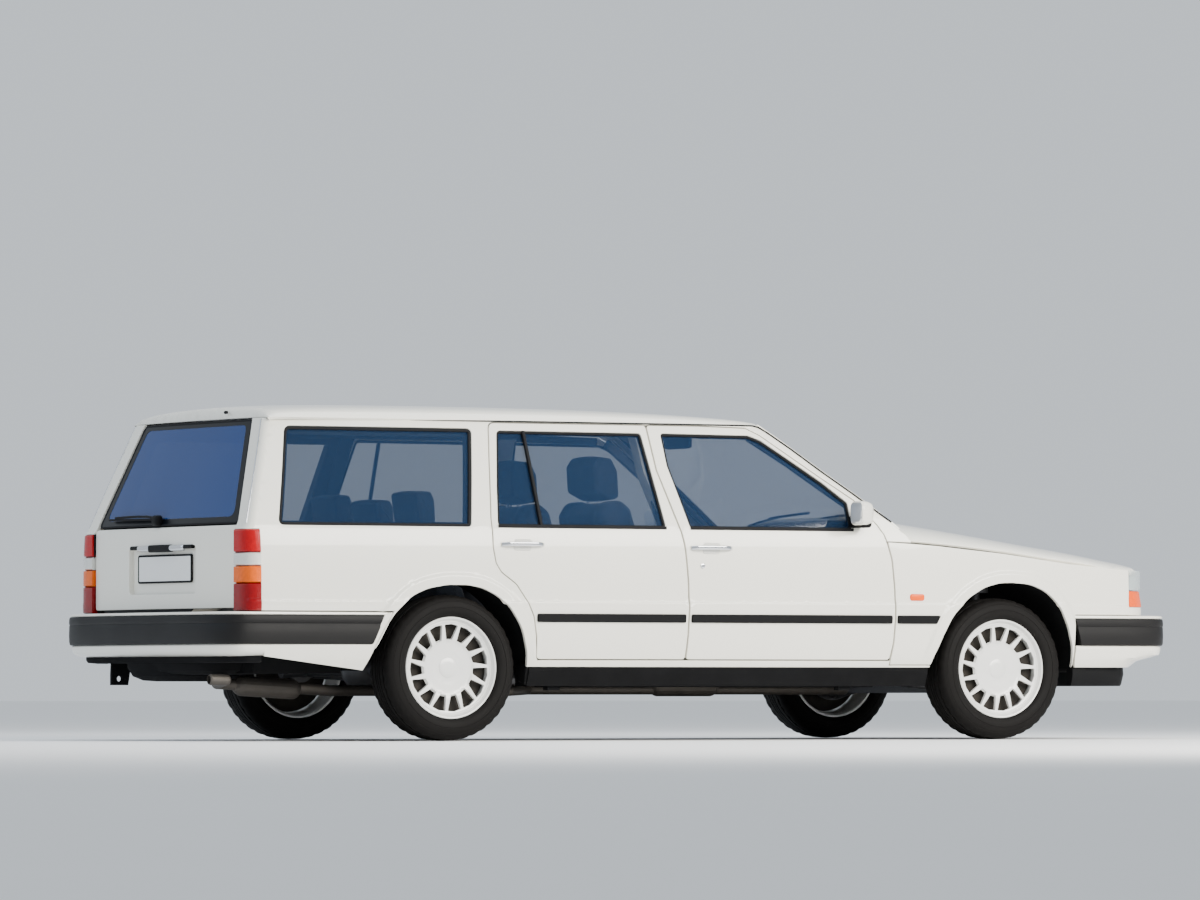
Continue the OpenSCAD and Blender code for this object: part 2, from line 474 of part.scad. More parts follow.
// ---- wheels and steering ----
// Half the tyre's section, columns radius and distance from its middle plane, from the bead out to the tread.
TYRE = [[rim_r - 9.9, 70], [rim_r - 9.9, 77], [rim_r + 2, 79], [rim_r + 3, 88], [rim_r + 16, tyre_w / 2 - 4], [rim_r + 36, tyre_w / 2], [tyre_r - 34, tyre_w / 2 - 3],
    [tyre_r - 14, tyre_w / 2 - 13], [tyre_r - 4, tyre_w / 2 - 25], [tyre_r, tyre_w / 2 - 40]];
module tyre(x, s) color(black) at_mid() translate([x, s * track / 2, tyre_r]) rotate([-90, 0, 0]) rotate_extrude()
    polygon(concat(TYRE, [for (i = [len(TYRE) - 1 : -1 : 0]) [TYRE[i][0], -TYRE[i][1]]]));
// Wheel: barrel, dished face with slots, and a hub bored for the stub axle.
module rim(x, s) color([0.85, 0.85, 0.83]) at_mid() translate([x, s * track / 2, tyre_r]) rotate([s > 0 ? -90 : 90, 0, 0]) {
    difference() {
        rotate_extrude() polygon([[32.55, -18], [32.55, 40], [60, 52], [118, 58], [190, 66], [203, 74], [211, 86], [rim_r, 86], [rim_r, 79.5], [rim_r - 10, 77.5],
            [rim_r - 10, -77.5], [rim_r, -79.5], [rim_r, -86], [211, -86], [202, -74], [198, 44], [118, 38], [90, -18]]);
        for (i = [0 : rim_slots - 1]) rotate([0, 0, i * 360 / rim_slots])
            translate([0, 0, 20]) linear_extrude(height = 80) polygon([[122, -6], [128, 14], [180, 27], [187, 6], [184, -24], [150, -14]]);
    }
    translate([0, 0, 40]) cylinder(r = 60, h = 14);
}
// Hub carrier that steers: kingpin sleeve, arm, stub axle and brake disc.
module knuckle(s) color([0.2, 0.2, 0.21]) at_mid() translate([axle_f, 0, 0]) mirror([0, s > 0 ? 0 : 1, 0]) {
    translate([0, kingpin_y, 220]) cylinder(r = 24, h = 200);
    translate([0, 0, tyre_r]) tube_y(50, kingpin_y - 30, kingpin_y + 40);
    translate([0, 0, tyre_r]) tube_y(32.5, kingpin_y + 40, track / 2 + 34);
    translate([0, 0, tyre_r]) tube_y(140, kingpin_y + 22, kingpin_y + 36);
    box([-150, 0], [kingpin_y - 16, kingpin_y + 4], [tyre_r - 60, tyre_r - 40]);
}

floor_pan();
body_side(-1);  // body_side_right
body_side(1);  // body_side_left
roof_panel();
bulkhead();
inner_wings();
wing(-1);  // wing_right
wing(1);  // wing_left
front_bumper();
rear_bumper();
grille();
headlamps();
front_indicators();
tail_lamps();
windscreen();
quarter_glass();
dashboard();
steering_wheel();
front_seats();
rear_seat();
engine();
exhaust();
rear_axle();
front_suspension();
bonnet();
tailgate();
tailgate_glass();
number_plate();
front_door(-1);  // front_door_right
front_door(1);  // front_door_left
front_glass(-1);  // front_glass_right
front_glass(1);  // front_glass_left
door_mirror(-1);  // door_mirror_right
door_mirror(1);  // door_mirror_left
rear_door(-1);  // rear_door_right
rear_door(1);  // rear_door_left
rear_glass(-1);  // rear_glass_right
rear_glass(1);  // rear_glass_left
knuckle(-1);  // knuckle_right
knuckle(1);  // knuckle_left
tyre(axle_f, -1);  // tyre_front_right
tyre(axle_f, 1);  // tyre_front_left
tyre(0, -1);  // tyre_rear_right
tyre(0, 1);  // tyre_rear_left
rim(axle_f, -1);  // rim_front_right
rim(axle_f, 1);  // rim_front_left
rim(0, -1);  // rim_rear_right
rim(0, 1);  // rim_rear_left
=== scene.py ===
import bpy, math, json
import numpy as np
from mathutils import Vector, Matrix
from mathutils.geometry import delaunay_2d_cdt

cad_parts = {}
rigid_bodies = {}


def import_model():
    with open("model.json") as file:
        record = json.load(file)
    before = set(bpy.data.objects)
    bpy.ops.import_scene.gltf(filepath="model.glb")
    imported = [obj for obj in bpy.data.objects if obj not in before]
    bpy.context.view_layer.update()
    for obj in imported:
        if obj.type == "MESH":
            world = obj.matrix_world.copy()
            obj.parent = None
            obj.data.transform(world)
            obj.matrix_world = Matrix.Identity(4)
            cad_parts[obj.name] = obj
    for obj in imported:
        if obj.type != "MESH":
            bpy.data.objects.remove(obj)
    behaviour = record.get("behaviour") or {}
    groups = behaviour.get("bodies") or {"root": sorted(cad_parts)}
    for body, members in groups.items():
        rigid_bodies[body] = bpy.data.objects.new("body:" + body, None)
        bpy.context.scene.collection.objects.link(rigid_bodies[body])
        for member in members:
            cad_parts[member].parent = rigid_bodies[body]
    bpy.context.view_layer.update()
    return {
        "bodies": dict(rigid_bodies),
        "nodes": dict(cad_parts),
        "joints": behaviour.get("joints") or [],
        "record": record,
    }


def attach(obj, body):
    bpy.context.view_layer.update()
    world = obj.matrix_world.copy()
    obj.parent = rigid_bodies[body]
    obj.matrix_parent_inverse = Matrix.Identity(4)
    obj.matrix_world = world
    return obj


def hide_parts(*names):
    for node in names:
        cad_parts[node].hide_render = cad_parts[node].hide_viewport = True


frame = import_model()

# All shapes below are in millimetres, x forward from the rear axle. XM moves them to the row frame.
XM = -1315.0
S = bpy.context.scene

# ------------------------------------------------------------------ camera
cam = bpy.data.objects.new("camera", bpy.data.cameras.new("camera"))
S.collection.objects.link(cam)
cam.data.lens = 247.5
cam.data.sensor_width = 36.0
cam.data.clip_end = 500.0
cam.location = (-17.815, -32.250, 0.205)
cam.rotation_euler = (Vector((-0.135, 0.0, 1.289)) - cam.location).to_track_quat("-Z", "Y").to_euler()
S.camera = cam


# ------------------------------------------------------------------ materials
def mat(name, color, rough=0.5, metal=0.0, coat=0.0, spec=0.5, noise=(0.0, 5.0), bump=(0.0, 40.0), alpha=None, sheen=0.0,
        rough_var=0.0, kind=None, trans=0.0):
    """A Principled material whose colour, roughness and bump vary with noise. noise and bump are (strength, scale in 1/m)."""
    m = bpy.data.materials.new(name)
    m.use_nodes = True
    nt = m.node_tree
    p = nt.nodes["Principled BSDF"]
    p.inputs["Metallic"].default_value = metal
    p.inputs["Roughness"].default_value = rough
    p.inputs["Specular IOR Level"].default_value = spec
    if coat:
        p.inputs["Coat Weight"].default_value = coat
        p.inputs["Coat Roughness"].default_value = 0.04
    if sheen:
        p.inputs["Sheen Weight"].default_value = sheen
        p.inputs["Sheen Roughness"].default_value = 0.5
    if trans:
        p.inputs["Transmission Weight"].default_value = trans
    tc = nt.nodes.new("ShaderNodeTexCoord")
    n1 = nt.nodes.new("ShaderNodeTexNoise")
    n1.inputs["Scale"].default_value = noise[1]
    n1.inputs["Detail"].default_value = 6.0
    nt.links.new(tc.outputs["Object"], n1.inputs["Vector"])
    ramp = nt.nodes.new("ShaderNodeMix")
    ramp.data_type = "RGBA"
    c = np.array(color[:3])
    d = noise[0]
    ramp.inputs[6].default_value = (*np.clip(c * (1 - d), 0, 1), 1)
    ramp.inputs[7].default_value = (*np.clip(c * (1 + d), 0, 1), 1)
    nt.links.new(n1.outputs["Fac"], ramp.inputs[0])
    nt.links.new(ramp.outputs[2], p.inputs["Base Color"])
    if rough_var:
        mr = nt.nodes.new("ShaderNodeMapRange")
        mr.inputs["To Min"].default_value = max(0.0, rough - rough_var)
        mr.inputs["To Max"].default_value = min(1.0, rough + rough_var)
        nt.links.new(n1.outputs["Fac"], mr.inputs["Value"])
        nt.links.new(mr.outputs["Result"], p.inputs["Roughness"])
    if bump[0]:
        if kind == "weave":
            w1 = nt.nodes.new("ShaderNodeTexWave")
            w1.inputs["Scale"].default_value = bump[1]
            w1.bands_direction = "Y"
            w2 = nt.nodes.new("ShaderNodeTexWave")
            w2.inputs["Scale"].default_value = bump[1]
            w2.bands_direction = "Z"
            for w in (w1, w2):
                w.inputs["Distortion"].default_value = 0.6
                nt.links.new(tc.outputs["Object"], w.inputs["Vector"])
            h = nt.nodes.new("ShaderNodeMath")
            h.operation = "MULTIPLY"
            nt.links.new(w1.outputs["Fac"], h.inputs[0])
            nt.links.new(w2.outputs["Fac"], h.inputs[1])
            height = h.outputs[0]
        else:
            n2 = nt.nodes.new("ShaderNodeTexVoronoi" if kind == "grain" else "ShaderNodeTexNoise")
            n2.inputs["Scale"].default_value = bump[1]
            nt.links.new(tc.outputs["Object"], n2.inputs["Vector"])
            height = n2.outputs["Distance" if kind == "grain" else "Fac"]
        b = nt.nodes.new("ShaderNodeBump")
        b.inputs["Strength"].default_value = bump[0]
        b.inputs["Distance"].default_value = 0.0008
        nt.links.new(height, b.inputs["Height"])
        nt.links.new(b.outputs["Normal"], p.inputs["Normal"])
    if alpha is not None:
        p.inputs["Alpha"].default_value = alpha
        m.surface_render_method = "BLENDED"
    return m


PAINT = mat("paint", (0.85, 0.825, 0.735), 0.34, coat=0.8, noise=(0.012, 1.3), bump=(0.03, 900.0))
# darker copy of the body paint: painted shade for the door gaps, shut faces and handle recesses
PAINT_SHADED = mat("paint_inner", (0.66, 0.65, 0.60), 0.5, noise=(0.03, 3.0), bump=(0.08, 500.0))
RUBBER = mat("seal_rubber", (0.008, 0.008, 0.009), 0.7, spec=0.15, noise=(0.2, 30.0), bump=(0.25, 700.0))
TRIM = mat("trim_charcoal", (0.006, 0.006, 0.0065), 0.55, spec=0.10, noise=(0.15, 9.0), bump=(0.35, 1100.0), kind="grain", rough_var=0.08)
BUMPER = mat("bumper_charcoal", (0.010, 0.0095, 0.0095), 0.5, spec=0.16, noise=(0.15, 6.0), bump=(0.30, 900.0), kind="grain", rough_var=0.08)
CHROME = mat("chrome", (0.72, 0.73, 0.75), 0.10, metal=1.0, noise=(0.03, 12.0), bump=(0.02, 300.0), rough_var=0.04)
TYRE = mat("tyre", (0.0075, 0.0068, 0.0064), 0.62, spec=0.09, noise=(0.25, 14.0), bump=(0.35, 500.0), rough_var=0.12)
ALLOY = mat("wheel_silver", (0.80, 0.795, 0.765), 0.36, metal=0.10, coat=0.5, noise=(0.03, 8.0), bump=(0.05, 800.0), rough_var=0.06)
# near-black disc colour: painted shade for the inside of the wheel seen through the slots
WHEEL_INNER_SHADE = mat("wheel_inner", (0.030, 0.026, 0.022), 0.6, metal=0.3, spec=0.2, noise=(0.3, 20.0), bump=(0.3, 300.0))
GLASS = mat("glass_side", (0.008, 0.032, 0.085), 0.03, noise=(0.08, 2.0), spec=0.5, alpha=0.34)
# rear glass: real blue tint plus painted sky reflection, deep blue and nearly opaque
GLASS_REAR_TINT_REFL = mat("glass_rear", (0.002, 0.040, 0.175), 0.03, noise=(0.10, 2.0), spec=0.3, alpha=0.88)
GLASS_F = mat("glass_screen", (0.01, 0.03, 0.045), 0.03, noise=(0.06, 2.0), spec=0.5, alpha=0.28)
BLACK_G = mat("glass_border", (0.003, 0.004, 0.006), 0.3, noise=(0.1, 4.0), spec=0.15)
UNDER = mat("underbody", (0.007, 0.007, 0.0075), 0.9, spec=0.08, noise=(0.35, 9.0), bump=(0.6, 160.0))
STEEL = mat("cast_steel", (0.10, 0.10, 0.105), 0.5, metal=0.7, noise=(0.3, 22.0), bump=(0.5, 250.0), rough_var=0.12)
PIPE = mat("exhaust_steel", (0.09, 0.08, 0.07), 0.55, metal=0.7, noise=(0.35, 12.0), bump=(0.4, 120.0), rough_var=0.12)
CLOTH = mat("seat_cloth", (0.050, 0.062, 0.085), 0.9, noise=(0.22, 60.0), bump=(0.7, 260.0), kind="weave", sheen=0.3)
CLOTH2 = mat("seat_cloth_side", (0.035, 0.042, 0.058), 0.9, noise=(0.2, 40.0), bump=(0.6, 320.0), kind="weave", sheen=0.2)
HEADLINER = mat("headliner", (0.20, 0.20, 0.20), 0.95, noise=(0.06, 60.0), bump=(0.5, 600.0), sheen=0.1)
CARPET = mat("carpet", (0.035, 0.037, 0.042), 1.0, noise=(0.4, 220.0), bump=(0.9, 700.0), sheen=0.4)
CABIN = mat("cabin_plastic", (0.035, 0.038, 0.043), 0.62, noise=(0.15, 8.0), bump=(0.45, 800.0), kind="grain")
CABIN_G = mat("cabin_grey", (0.055, 0.062, 0.075), 0.7, spec=0.3, noise=(0.1, 8.0), bump=(0.4, 800.0), kind="grain")
AMBER = mat("lens_amber", (0.85, 0.095, 0.0), 0.22, coat=0.08, spec=0.2, noise=(0.15, 60.0), bump=(0.7, 220.0), kind="grain")
RED = mat("lens_red", (0.42, 0.0, 0.004), 0.22, coat=0.08, spec=0.2, noise=(0.25, 60.0), bump=(0.7, 220.0), kind="grain")
RED_D = mat("lens_red_dark", (0.24, 0.0, 0.003), 0.22, coat=0.08, spec=0.2, noise=(0.25, 60.0), bump=(0.7, 220.0), kind="grain")
AMBER_R = mat("lens_amber_rear", (0.80, 0.12, 0.0), 0.22, coat=0.08, spec=0.2, noise=(0.25, 60.0), bump=(0.7, 220.0), kind="grain")
CLEAR_R = mat("lens_clear_rear", (0.70, 0.69, 0.64), 0.14, coat=1.0, noise=(0.1, 60.0), bump=(0.7, 220.0), kind="grain", spec=0.7)
LENS = mat("lens_clear", (0.60, 0.68, 0.68), 0.06, noise=(0.06, 30.0), bump=(0.35, 160.0), kind="grain", spec=0.6, alpha=0.42)
REFL = mat("lamp_reflector", (0.62, 0.65, 0.66), 0.22, metal=0.85, noise=(0.05, 30.0), bump=(0.4, 90.0), rough_var=0.05)
PLATE = mat("blank_plate", (0.82, 0.82, 0.80), 0.35, noise=(0.02, 6.0), bump=(0.06, 200.0))
# mirror: silver reflection, plus a pale diffuse colour that is painted reflection of bright surroundings
MIRROR_SILVER_REFL = mat("mirror_glass", (0.80, 0.82, 0.84), 0.06, metal=0.55, noise=(0.01, 5.0))
FLOOR = mat("floor", (0.86, 0.86, 0.86), 0.75, noise=(0.01, 0.6), bump=(0.02, 60.0))


# ------------------------------------------------------------------ number helpers
def pchip(tab):
    t = np.array(tab, float)
    x, y = t[:, 0], t[:, 1]
    h, d = np.diff(x), np.diff(y) / np.diff(x)
    m = np.zeros(len(x))
    for i in range(1, len(x) - 1):
        if d[i - 1] * d[i] > 0:
            w1, w2 = 2 * h[i] + h[i - 1], h[i] + 2 * h[i - 1]
            m[i] = (w1 + w2) / (w1 / d[i - 1] + w2 / d[i])
    m[0], m[-1] = d[0], d[-1]

    def f(q):
        q = np.clip(np.asarray(q, float), x[0], x[-1])
        i = np.clip(np.searchsorted(x, q, side="right") - 1, 0, len(h) - 1)
        s = (q - x[i]) / h[i]
        return (y[i] * (1 + 2 * s) * (1 - s) ** 2 + y[i + 1] * s * s * (3 - 2 * s)
                + h[i] * (m[i] * s * (1 - s) ** 2 + m[i + 1] * s * s * (s - 1)))
    return f


def smooth(a, b, x):
    t = np.clip((np.asarray(x, float) - a) / (b - a), 0, 1)
    return t * t * (3 - 2 * t)


def unit(v):
    return v / np.maximum(np.linalg.norm(v, axis=-1, keepdims=True), 1e-12)


def area2(p):
    p = np.asarray(p, float)
    q = np.roll(p, -1, 0)
    return float(np.sum(p[:, 0] * q[:, 1] - q[:, 0] * p[:, 1]))


def rnd(pts, r=30.0, n=5):
    """Polygon with its corners rounded. A point may carry its own radius as a third number."""
    pts = [tuple(p) for p in pts]
    out = []
    for i, p in enumerate(pts):
        a, b = np.array(pts[i - 1][:2], float), np.array(pts[(i + 1) % len(pts)][:2], float)
        c = np.array(p[:2], float)
        rr = p[2] if len(p) > 2 else r
        u, v = a - c, b - c
        lu, lv = np.linalg.norm(u), np.linalg.norm(v)
        u, v = u / lu, v / lv
        ang = math.acos(max(-1, min(1, float(u @ v))))
        if ang > math.radians(178) or rr <= 0:
            out.append(c)
            continue
        t = min(rr / math.tan(ang / 2), 0.48 * lu, 0.48 * lv)
        for k in range(n + 1):
            s = k / n
            out.append((1 - s) ** 2 * (c + u * t) + 2 * s * (1 - s) * c + s * s * (c + v * t))
    return np.array(out)


def dense(p, step):
    p = np.asarray(p, float)
    out = []
    for i in range(len(p)):
        a, b = p[i], p[(i + 1) % len(p)]
        n = max(1, int(math.ceil(np.linalg.norm(b - a) / step)))
        for k in range(n):
            out.append(a + (b - a) * k / n)
    q = [out[0]]
    for v in out[1:]:
        if np.linalg.norm(v - q[-1]) > 0.4:
            q.append(v)
    return np.array(q)


def ccw(p):
    p = np.asarray(p, float)[:, :2]
    return p if area2(p) > 0 else p[::-1]


def grow(p, d):
    """Closed CCW polygon moved outward by d."""
    e = np.roll(p, -1, 0) - p
    n = unit(np.stack([e[:, 1], -e[:, 0]], 1))
    m = n + np.roll(n, 1, 0)
    k = 1 / np.maximum(1 + np.sum(n * np.roll(n, 1, 0), 1), 0.45)
    return p + d * m * k[:, None]


def inside(p, q):
    """Which of the points q lie in polygon p."""
    x, y = q[:, 0], q[:, 1]
    c = np.zeros(len(q), bool)
    for i in range(len(p)):
        x1, y1 = p[i - 1]
        x2, y2 = p[i]
        if y1 == y2:
            continue
        hit = (y1 > y) != (y2 > y)
        c ^= hit & (x < (x2 - x1) * (y - y1) / (y2 - y1) + x1)
    return c


def dist_poly(line, q):
    """Distance of points q from an open polyline."""
    best = np.full(len(q), 1e9)
    for a, b in zip(line[:-1], line[1:]):
        a, b = np.array(a, float), np.array(b, float)
        v = b - a
        t = np.clip(((q - a) @ v) / (v @ v), 0, 1)
        best = np.minimum(best, np.linalg.norm(q - a - t[:, None] * v, axis=1))
    return best


# ------------------------------------------------------------------ mesh helpers
def add(name, V, F, material, body, N=None, slot=None, sharp=35.0, replaces=()):
    V = np.asarray(V, float).copy()
    V[:, 0] += XM
    V /= 1000.0
    me = bpy.data.meshes.new(name)
    me.from_pydata(V.tolist(), [], [tuple(int(i) for i in f) for f in F])
    mats = material if isinstance(material, (list, tuple)) else [material]
    for m in mats:
        me.materials.append(m)
    me.polygons.foreach_set("use_smooth", [True] * len(me.polygons))
    if N is None:
        me.update()
        ed = {}
        nor = [p.normal.copy() for p in me.polygons]
        for p in me.polygons:
            for k in p.edge_keys:
                ed.setdefault(k, []).append(p.index)
        cs = math.cos(math.radians(sharp))
        attr = me.attributes.new("sharp_edge", "BOOLEAN", "EDGE")
        flags = [False] * len(me.edges)
        for e in me.edges:
            fs = ed.get(tuple(sorted(e.vertices)), [])
            flags[e.index] = len(fs) != 2 or nor[fs[0]].dot(nor[fs[1]]) < cs
        attr.data.foreach_set("value", flags)
    me.update()
    if N is not None:
        me.normals_split_custom_set_from_vertices([tuple(n) for n in np.asarray(N, float)])
    ob = bpy.data.objects.new(name, me)
    S.collection.objects.link(ob)
    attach(ob, body)
    if replaces:
        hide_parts(*replaces)
    return ob


def panel(name, outer, holes, fmap, material, body, step=45.0, r=3.0, depth=12.0, extra=(), slot=None, replaces=(), back=True, keep=None):
    """A formed sheet: outline and holes in two numbers, mapped by fmap to points and normals, with rounded edges that turn in by depth."""
    out = dense(ccw(outer), step * 0.6)
    hs = [dense(ccw(h), step * 0.5) for h in holes]
    loops = [(out, -1.0)] + [(h, 1.0) for h in hs]
    inner = [grow(p, sg * r) for p, sg in loops]
    o, hh = inner[0], inner[1:]
    lo, hi = o.min(0), o.max(0)
    gx = np.arange(lo[0] + step / 2, hi[0], step)
    gy = np.arange(lo[1] + step / 2, hi[1], step)
    G = np.array([(x + (step / 2 if j % 2 else 0), y) for j, y in enumerate(gy) for x in gx]).reshape(-1, 2)
    if len(extra):
        G = np.concatenate([G, np.asarray(extra, float).reshape(-1, 2)])
    if len(G):
        ok = inside(o, G)
        for h in hh:
            ok &= ~inside(h, G)
        G = G[ok]
        for p in inner:
            L = list(p) + [p[0]]
            G = G[dist_poly(L, G) > step * 0.22] if len(G) else G
    pts = list(map(tuple, o))
    edges = [(i, (i + 1) % len(o)) for i in range(len(o))]
    for h in hh:
        b = len(pts)
        pts += list(map(tuple, h))
        edges += [(b + i, b + (i + 1) % len(h)) for i in range(len(h))]
    nb = len(pts)
    pts += list(map(tuple, G))
    v2, _, f2, *_ = delaunay_2d_cdt([Vector(p) for p in pts], edges, [], 0, 1e-4)
    P2 = np.array([tuple(v) for v in v2])
    T = np.array([tuple(f) for f in f2 if len(f) == 3])
    C = P2[T].mean(1)
    ok = inside(o, C)
    for h in hh:
        ok &= ~inside(h, C)
    T = T[ok]
    P, N = fmap(P2[:, 0], P2[:, 1])
    # face direction
    fn = np.cross(P[T[:, 1]] - P[T[:, 0]], P[T[:, 2]] - P[T[:, 0]])
    if np.sum(fn * N[T[:, 0]]) < 0:
        T = T[:, ::-1]
        flip = True
    else:
        flip = False
    V, NN, F = [P], [N], [T]
    n = len(P)
    if back:
        V.append(P - N * depth)
        NN.append(-N)
        F.append(T[:, ::-1] + n)
        n *= 2
    for (p, sg), q in zip(loops, inner):
        k = len(p)
        Pq, Nq = fmap(q[:, 0], q[:, 1])
        mid = q + (p - q) * 0.7
        Pm, _ = fmap(mid[:, 0], mid[:, 1])
        Pp, Np = fmap(p[:, 0], p[:, 1])
        E = Pp - Pq
        E = unit(E - np.sum(E * Nq, 1, keepdims=True) * Nq)
        rr = min(r, depth * 0.6)
        rows = [(Pq, Nq), (Pm - Nq * 0.3 * rr, unit(Nq + E)), (Pp - Np * rr, E), (Pp - Np * depth, E)]
        if back:
            rows.append((Pp - Np * depth, -Nq))
            rows.append((Pq - Nq * depth, -Nq))
        base = n
        for a, b in rows:
            V.append(a)
            NN.append(b)
        n += k * len(rows)
        i = np.arange(k)
        j = (i + 1) % k
        for row in range(len(rows) - 1):
            if row == 3:
                continue
            a, b = base + row * k, base + (row + 1) * k
            quad = np.stack([a + i, b + i, b + j, a + j], 1)
            good = (sg > 0) != flip
            if good:
                quad = quad[:, ::-1]
            F.append(np.concatenate([quad[:, [0, 1, 2]], quad[:, [0, 2, 3]]]))
    V, NN = np.concatenate(V), np.concatenate(NN)
    FF = np.concatenate(F)
    # drop slivers
    fn = np.linalg.norm(np.cross(V[FF[:, 1]] - V[FF[:, 0]], V[FF[:, 2]] - V[FF[:, 0]]), axis=1)
    FF = FF[fn > 1e-6]
    used = np.unique(FF)
    back_to = np.full(len(V), -1)
    back_to[used] = np.arange(len(used))
    return add(name, V[used], back_to[FF], material, body, N=NN[used], slot=slot, replaces=replaces)


def loft(name, rings, material, body, closed=True, caps=True, sharp=35.0, **k):
    """Skin over rings that have the same number of points."""
    R = np.asarray(rings, float)
    m, n = R.shape[:2]
    V = R.reshape(-1, 3)
    F = []
    for i in range(m - 1):
        for j in range(n if closed else n - 1):
            a, b = i * n + j, i * n + (j + 1) % n
            F.append((a, b, b + n, a + n))
    if caps and closed:
        F.append(tuple(range(n - 1, -1, -1)))
        F.append(tuple((m - 1) * n + j for j in range(n)))
    # make the skin face outward
    c = V.mean(0)
    tot = 0.0
    for f in F:
        p = V[list(f)]
        nn = np.cross(p[1] - p[0], p[2] - p[0])
        tot += float(np.dot(p[0], nn)) + (float(np.dot(p[0], np.cross(p[2] - p[0], p[3] - p[0]))) if len(f) == 4 else 0)
    if tot < 0:
        F = [f[::-1] for f in F]
    return add(name, V, F, material, body, sharp=sharp, **k)


def ring_rect(c, ex, ey, w, h, r, n=4):
    """Rounded rectangle ring round point c, on directions ex and ey."""
    pts = []
    r = min(r, w / 2 - 0.01, h / 2 - 0.01)
    for sx, sy, a0 in ((1, 1, 0), (-1, 1, 90), (-1, -1, 180), (1, -1, 270)):
        for k in range(n + 1):
            a = math.radians(a0 + 90 * k / n)
            pts.append(np.array(c, float) + np.array(ex, float) * (sx * (w / 2 - r) + r * math.cos(a)) + np.array(ey, float) * (sy * (h / 2 - r) + r * math.sin(a)))
    return pts


def bar(name, path, w, h, r, material, body, up=(0, 0, 1), taper=None, **k):
    """Rounded bar along a path."""
    P = np.array(path, float)
    rings = []
    for i, p in enumerate(P):
        t = P[min(i + 1, len(P) - 1)] - P[max(i - 1, 0)]
        t = t / np.linalg.norm(t)
        ex = np.cross(t, up)
        ex = ex / max(np.linalg.norm(ex), 1e-9)
        ey = np.cross(ex, t)
        s = 1.0 if taper is None else taper[i]
        rings.append(ring_rect(p, ex, ey, w * s, h * s, r * s))
    return loft(name, rings, material, body, **k)


def revolve(name, prof, centre, axis, material, body, seg=96, closed=True, sharp=35.0, **k):
    """Profile of (radius, distance along axis) turned about the axis y (axis = +1 or -1 outward)."""
    prof = np.array(prof, float)
    a = np.linspace(0, 2 * math.pi, seg, endpoint=False)
    V = []
    for r, h in prof:
        V.append(np.stack([centre[0] + r * np.cos(a), np.full(seg, centre[1] + axis * h), centre[2] + r * np.sin(a)], 1))
    V = np.concatenate(V)
    n = len(prof)
    F = []
    for i in range(n if closed else n - 1):
        i2 = (i + 1) % n
        for j in range(seg):
            q = (j + 1) % seg
            F.append((i * seg + j, i * seg + q, i2 * seg + q, i2 * seg + j))
    vol = 0.0
    for f in F[::7]:
        p = V[list(f)] - np.array(centre)
        vol += float(np.dot(p[0], np.cross(p[1] - p[0], p[2] - p[0])))
    A = 0.0
    if closed:
        q = np.roll(prof, -1, 0)
        A = float(np.sum(prof[:, 0] * q[:, 1] - q[:, 0] * prof[:, 1]))
        want = 1 if True else -1
    # orientation by the signed volume of all faces
    tot = 0.0
    for f in F:
        p = V[list(f)] - np.array(centre)
        tot += float(np.dot(p[0], np.cross(p[1], p[2]))) + float(np.dot(p[0], np.cross(p[2], p[3])))
    if tot < 0:
        F = [f[::-1] for f in F]
    return add(name, V, F, material, body, sharp=sharp, **k)


def rbox(name, c, size, r, material, body, n=8, crown=(0, 0, 0), seams=(), rot=None, pinch=0.0, **k):
    """Rounded, crowned block on a cube grid. seams are (axis, position -1..1, depth, width) grooves on the top and front faces."""
    c, size = np.array(c, float), np.array(size, float) / 2
    t = np.linspace(-1, 1, n + 1)
    V, idx, F = [], {}, []

    def vid(p):
        key = tuple(np.round(p, 5))
        if key not in idx:
            idx[key] = len(V)
            V.append(np.array(p, float))
        return idx[key]
    for ax in range(3):
        u, v = (ax + 1) % 3, (ax + 2) % 3
        for sg in (-1, 1):
            for i in range(n):
                for j in range(n):
                    q = []
                    for a, b in ((i, j), (i + 1, j), (i + 1, j + 1), (i, j + 1)):
                        p = [0, 0, 0]
                        p[ax], p[u], p[v] = sg, t[a], t[b]
                        q.append(vid(p))
                    F.append(tuple(q if sg > 0 else q[::-1]))
    V = np.array(V)
    W = np.sign(V) * np.abs(V) ** 1.0
    P = W * size
    core = np.clip(P, -(size - r), size - r)
    d = P - core
    P = core + unit(d) * r * (np.linalg.norm(d, axis=1, keepdims=True) > 1e-9)
    un = P / size
    for ax in range(3):
        o = [a for a in range(3) if a != ax]
        P[:, ax] += np.sign(un[:, ax]) * crown[ax] * smooth(0.3, 1.0, np.abs(un[:, ax])) * (1 - un[:, o[0]] ** 2) * (1 - un[:, o[1]] ** 2)
    if pinch:
        for ax in range(3):
            o = [a for a in range(3) if a != ax]
            P[:, ax] *= 1 - pinch * (1 - np.abs(un[:, ax])) * 0
    for ax, pos, dep, wid, face in seams:
        g = np.exp(-((un[:, ax] - pos) / wid) ** 2)
        fax, fsg = face
        on = smooth(0.5, 0.95, un[:, fax] * fsg)
        P[:, fax] -= fsg * dep * g * on
    if rot is not None:
        P = P @ np.array(rot).T
    return add(name, P + c, F, material, body, sharp=60.0, **k)


def rot_y(deg):
    a = math.radians(deg)
    return np.array([[math.cos(a), 0, math.sin(a)], [0, 1, 0], [-math.sin(a), 0, math.cos(a)]])


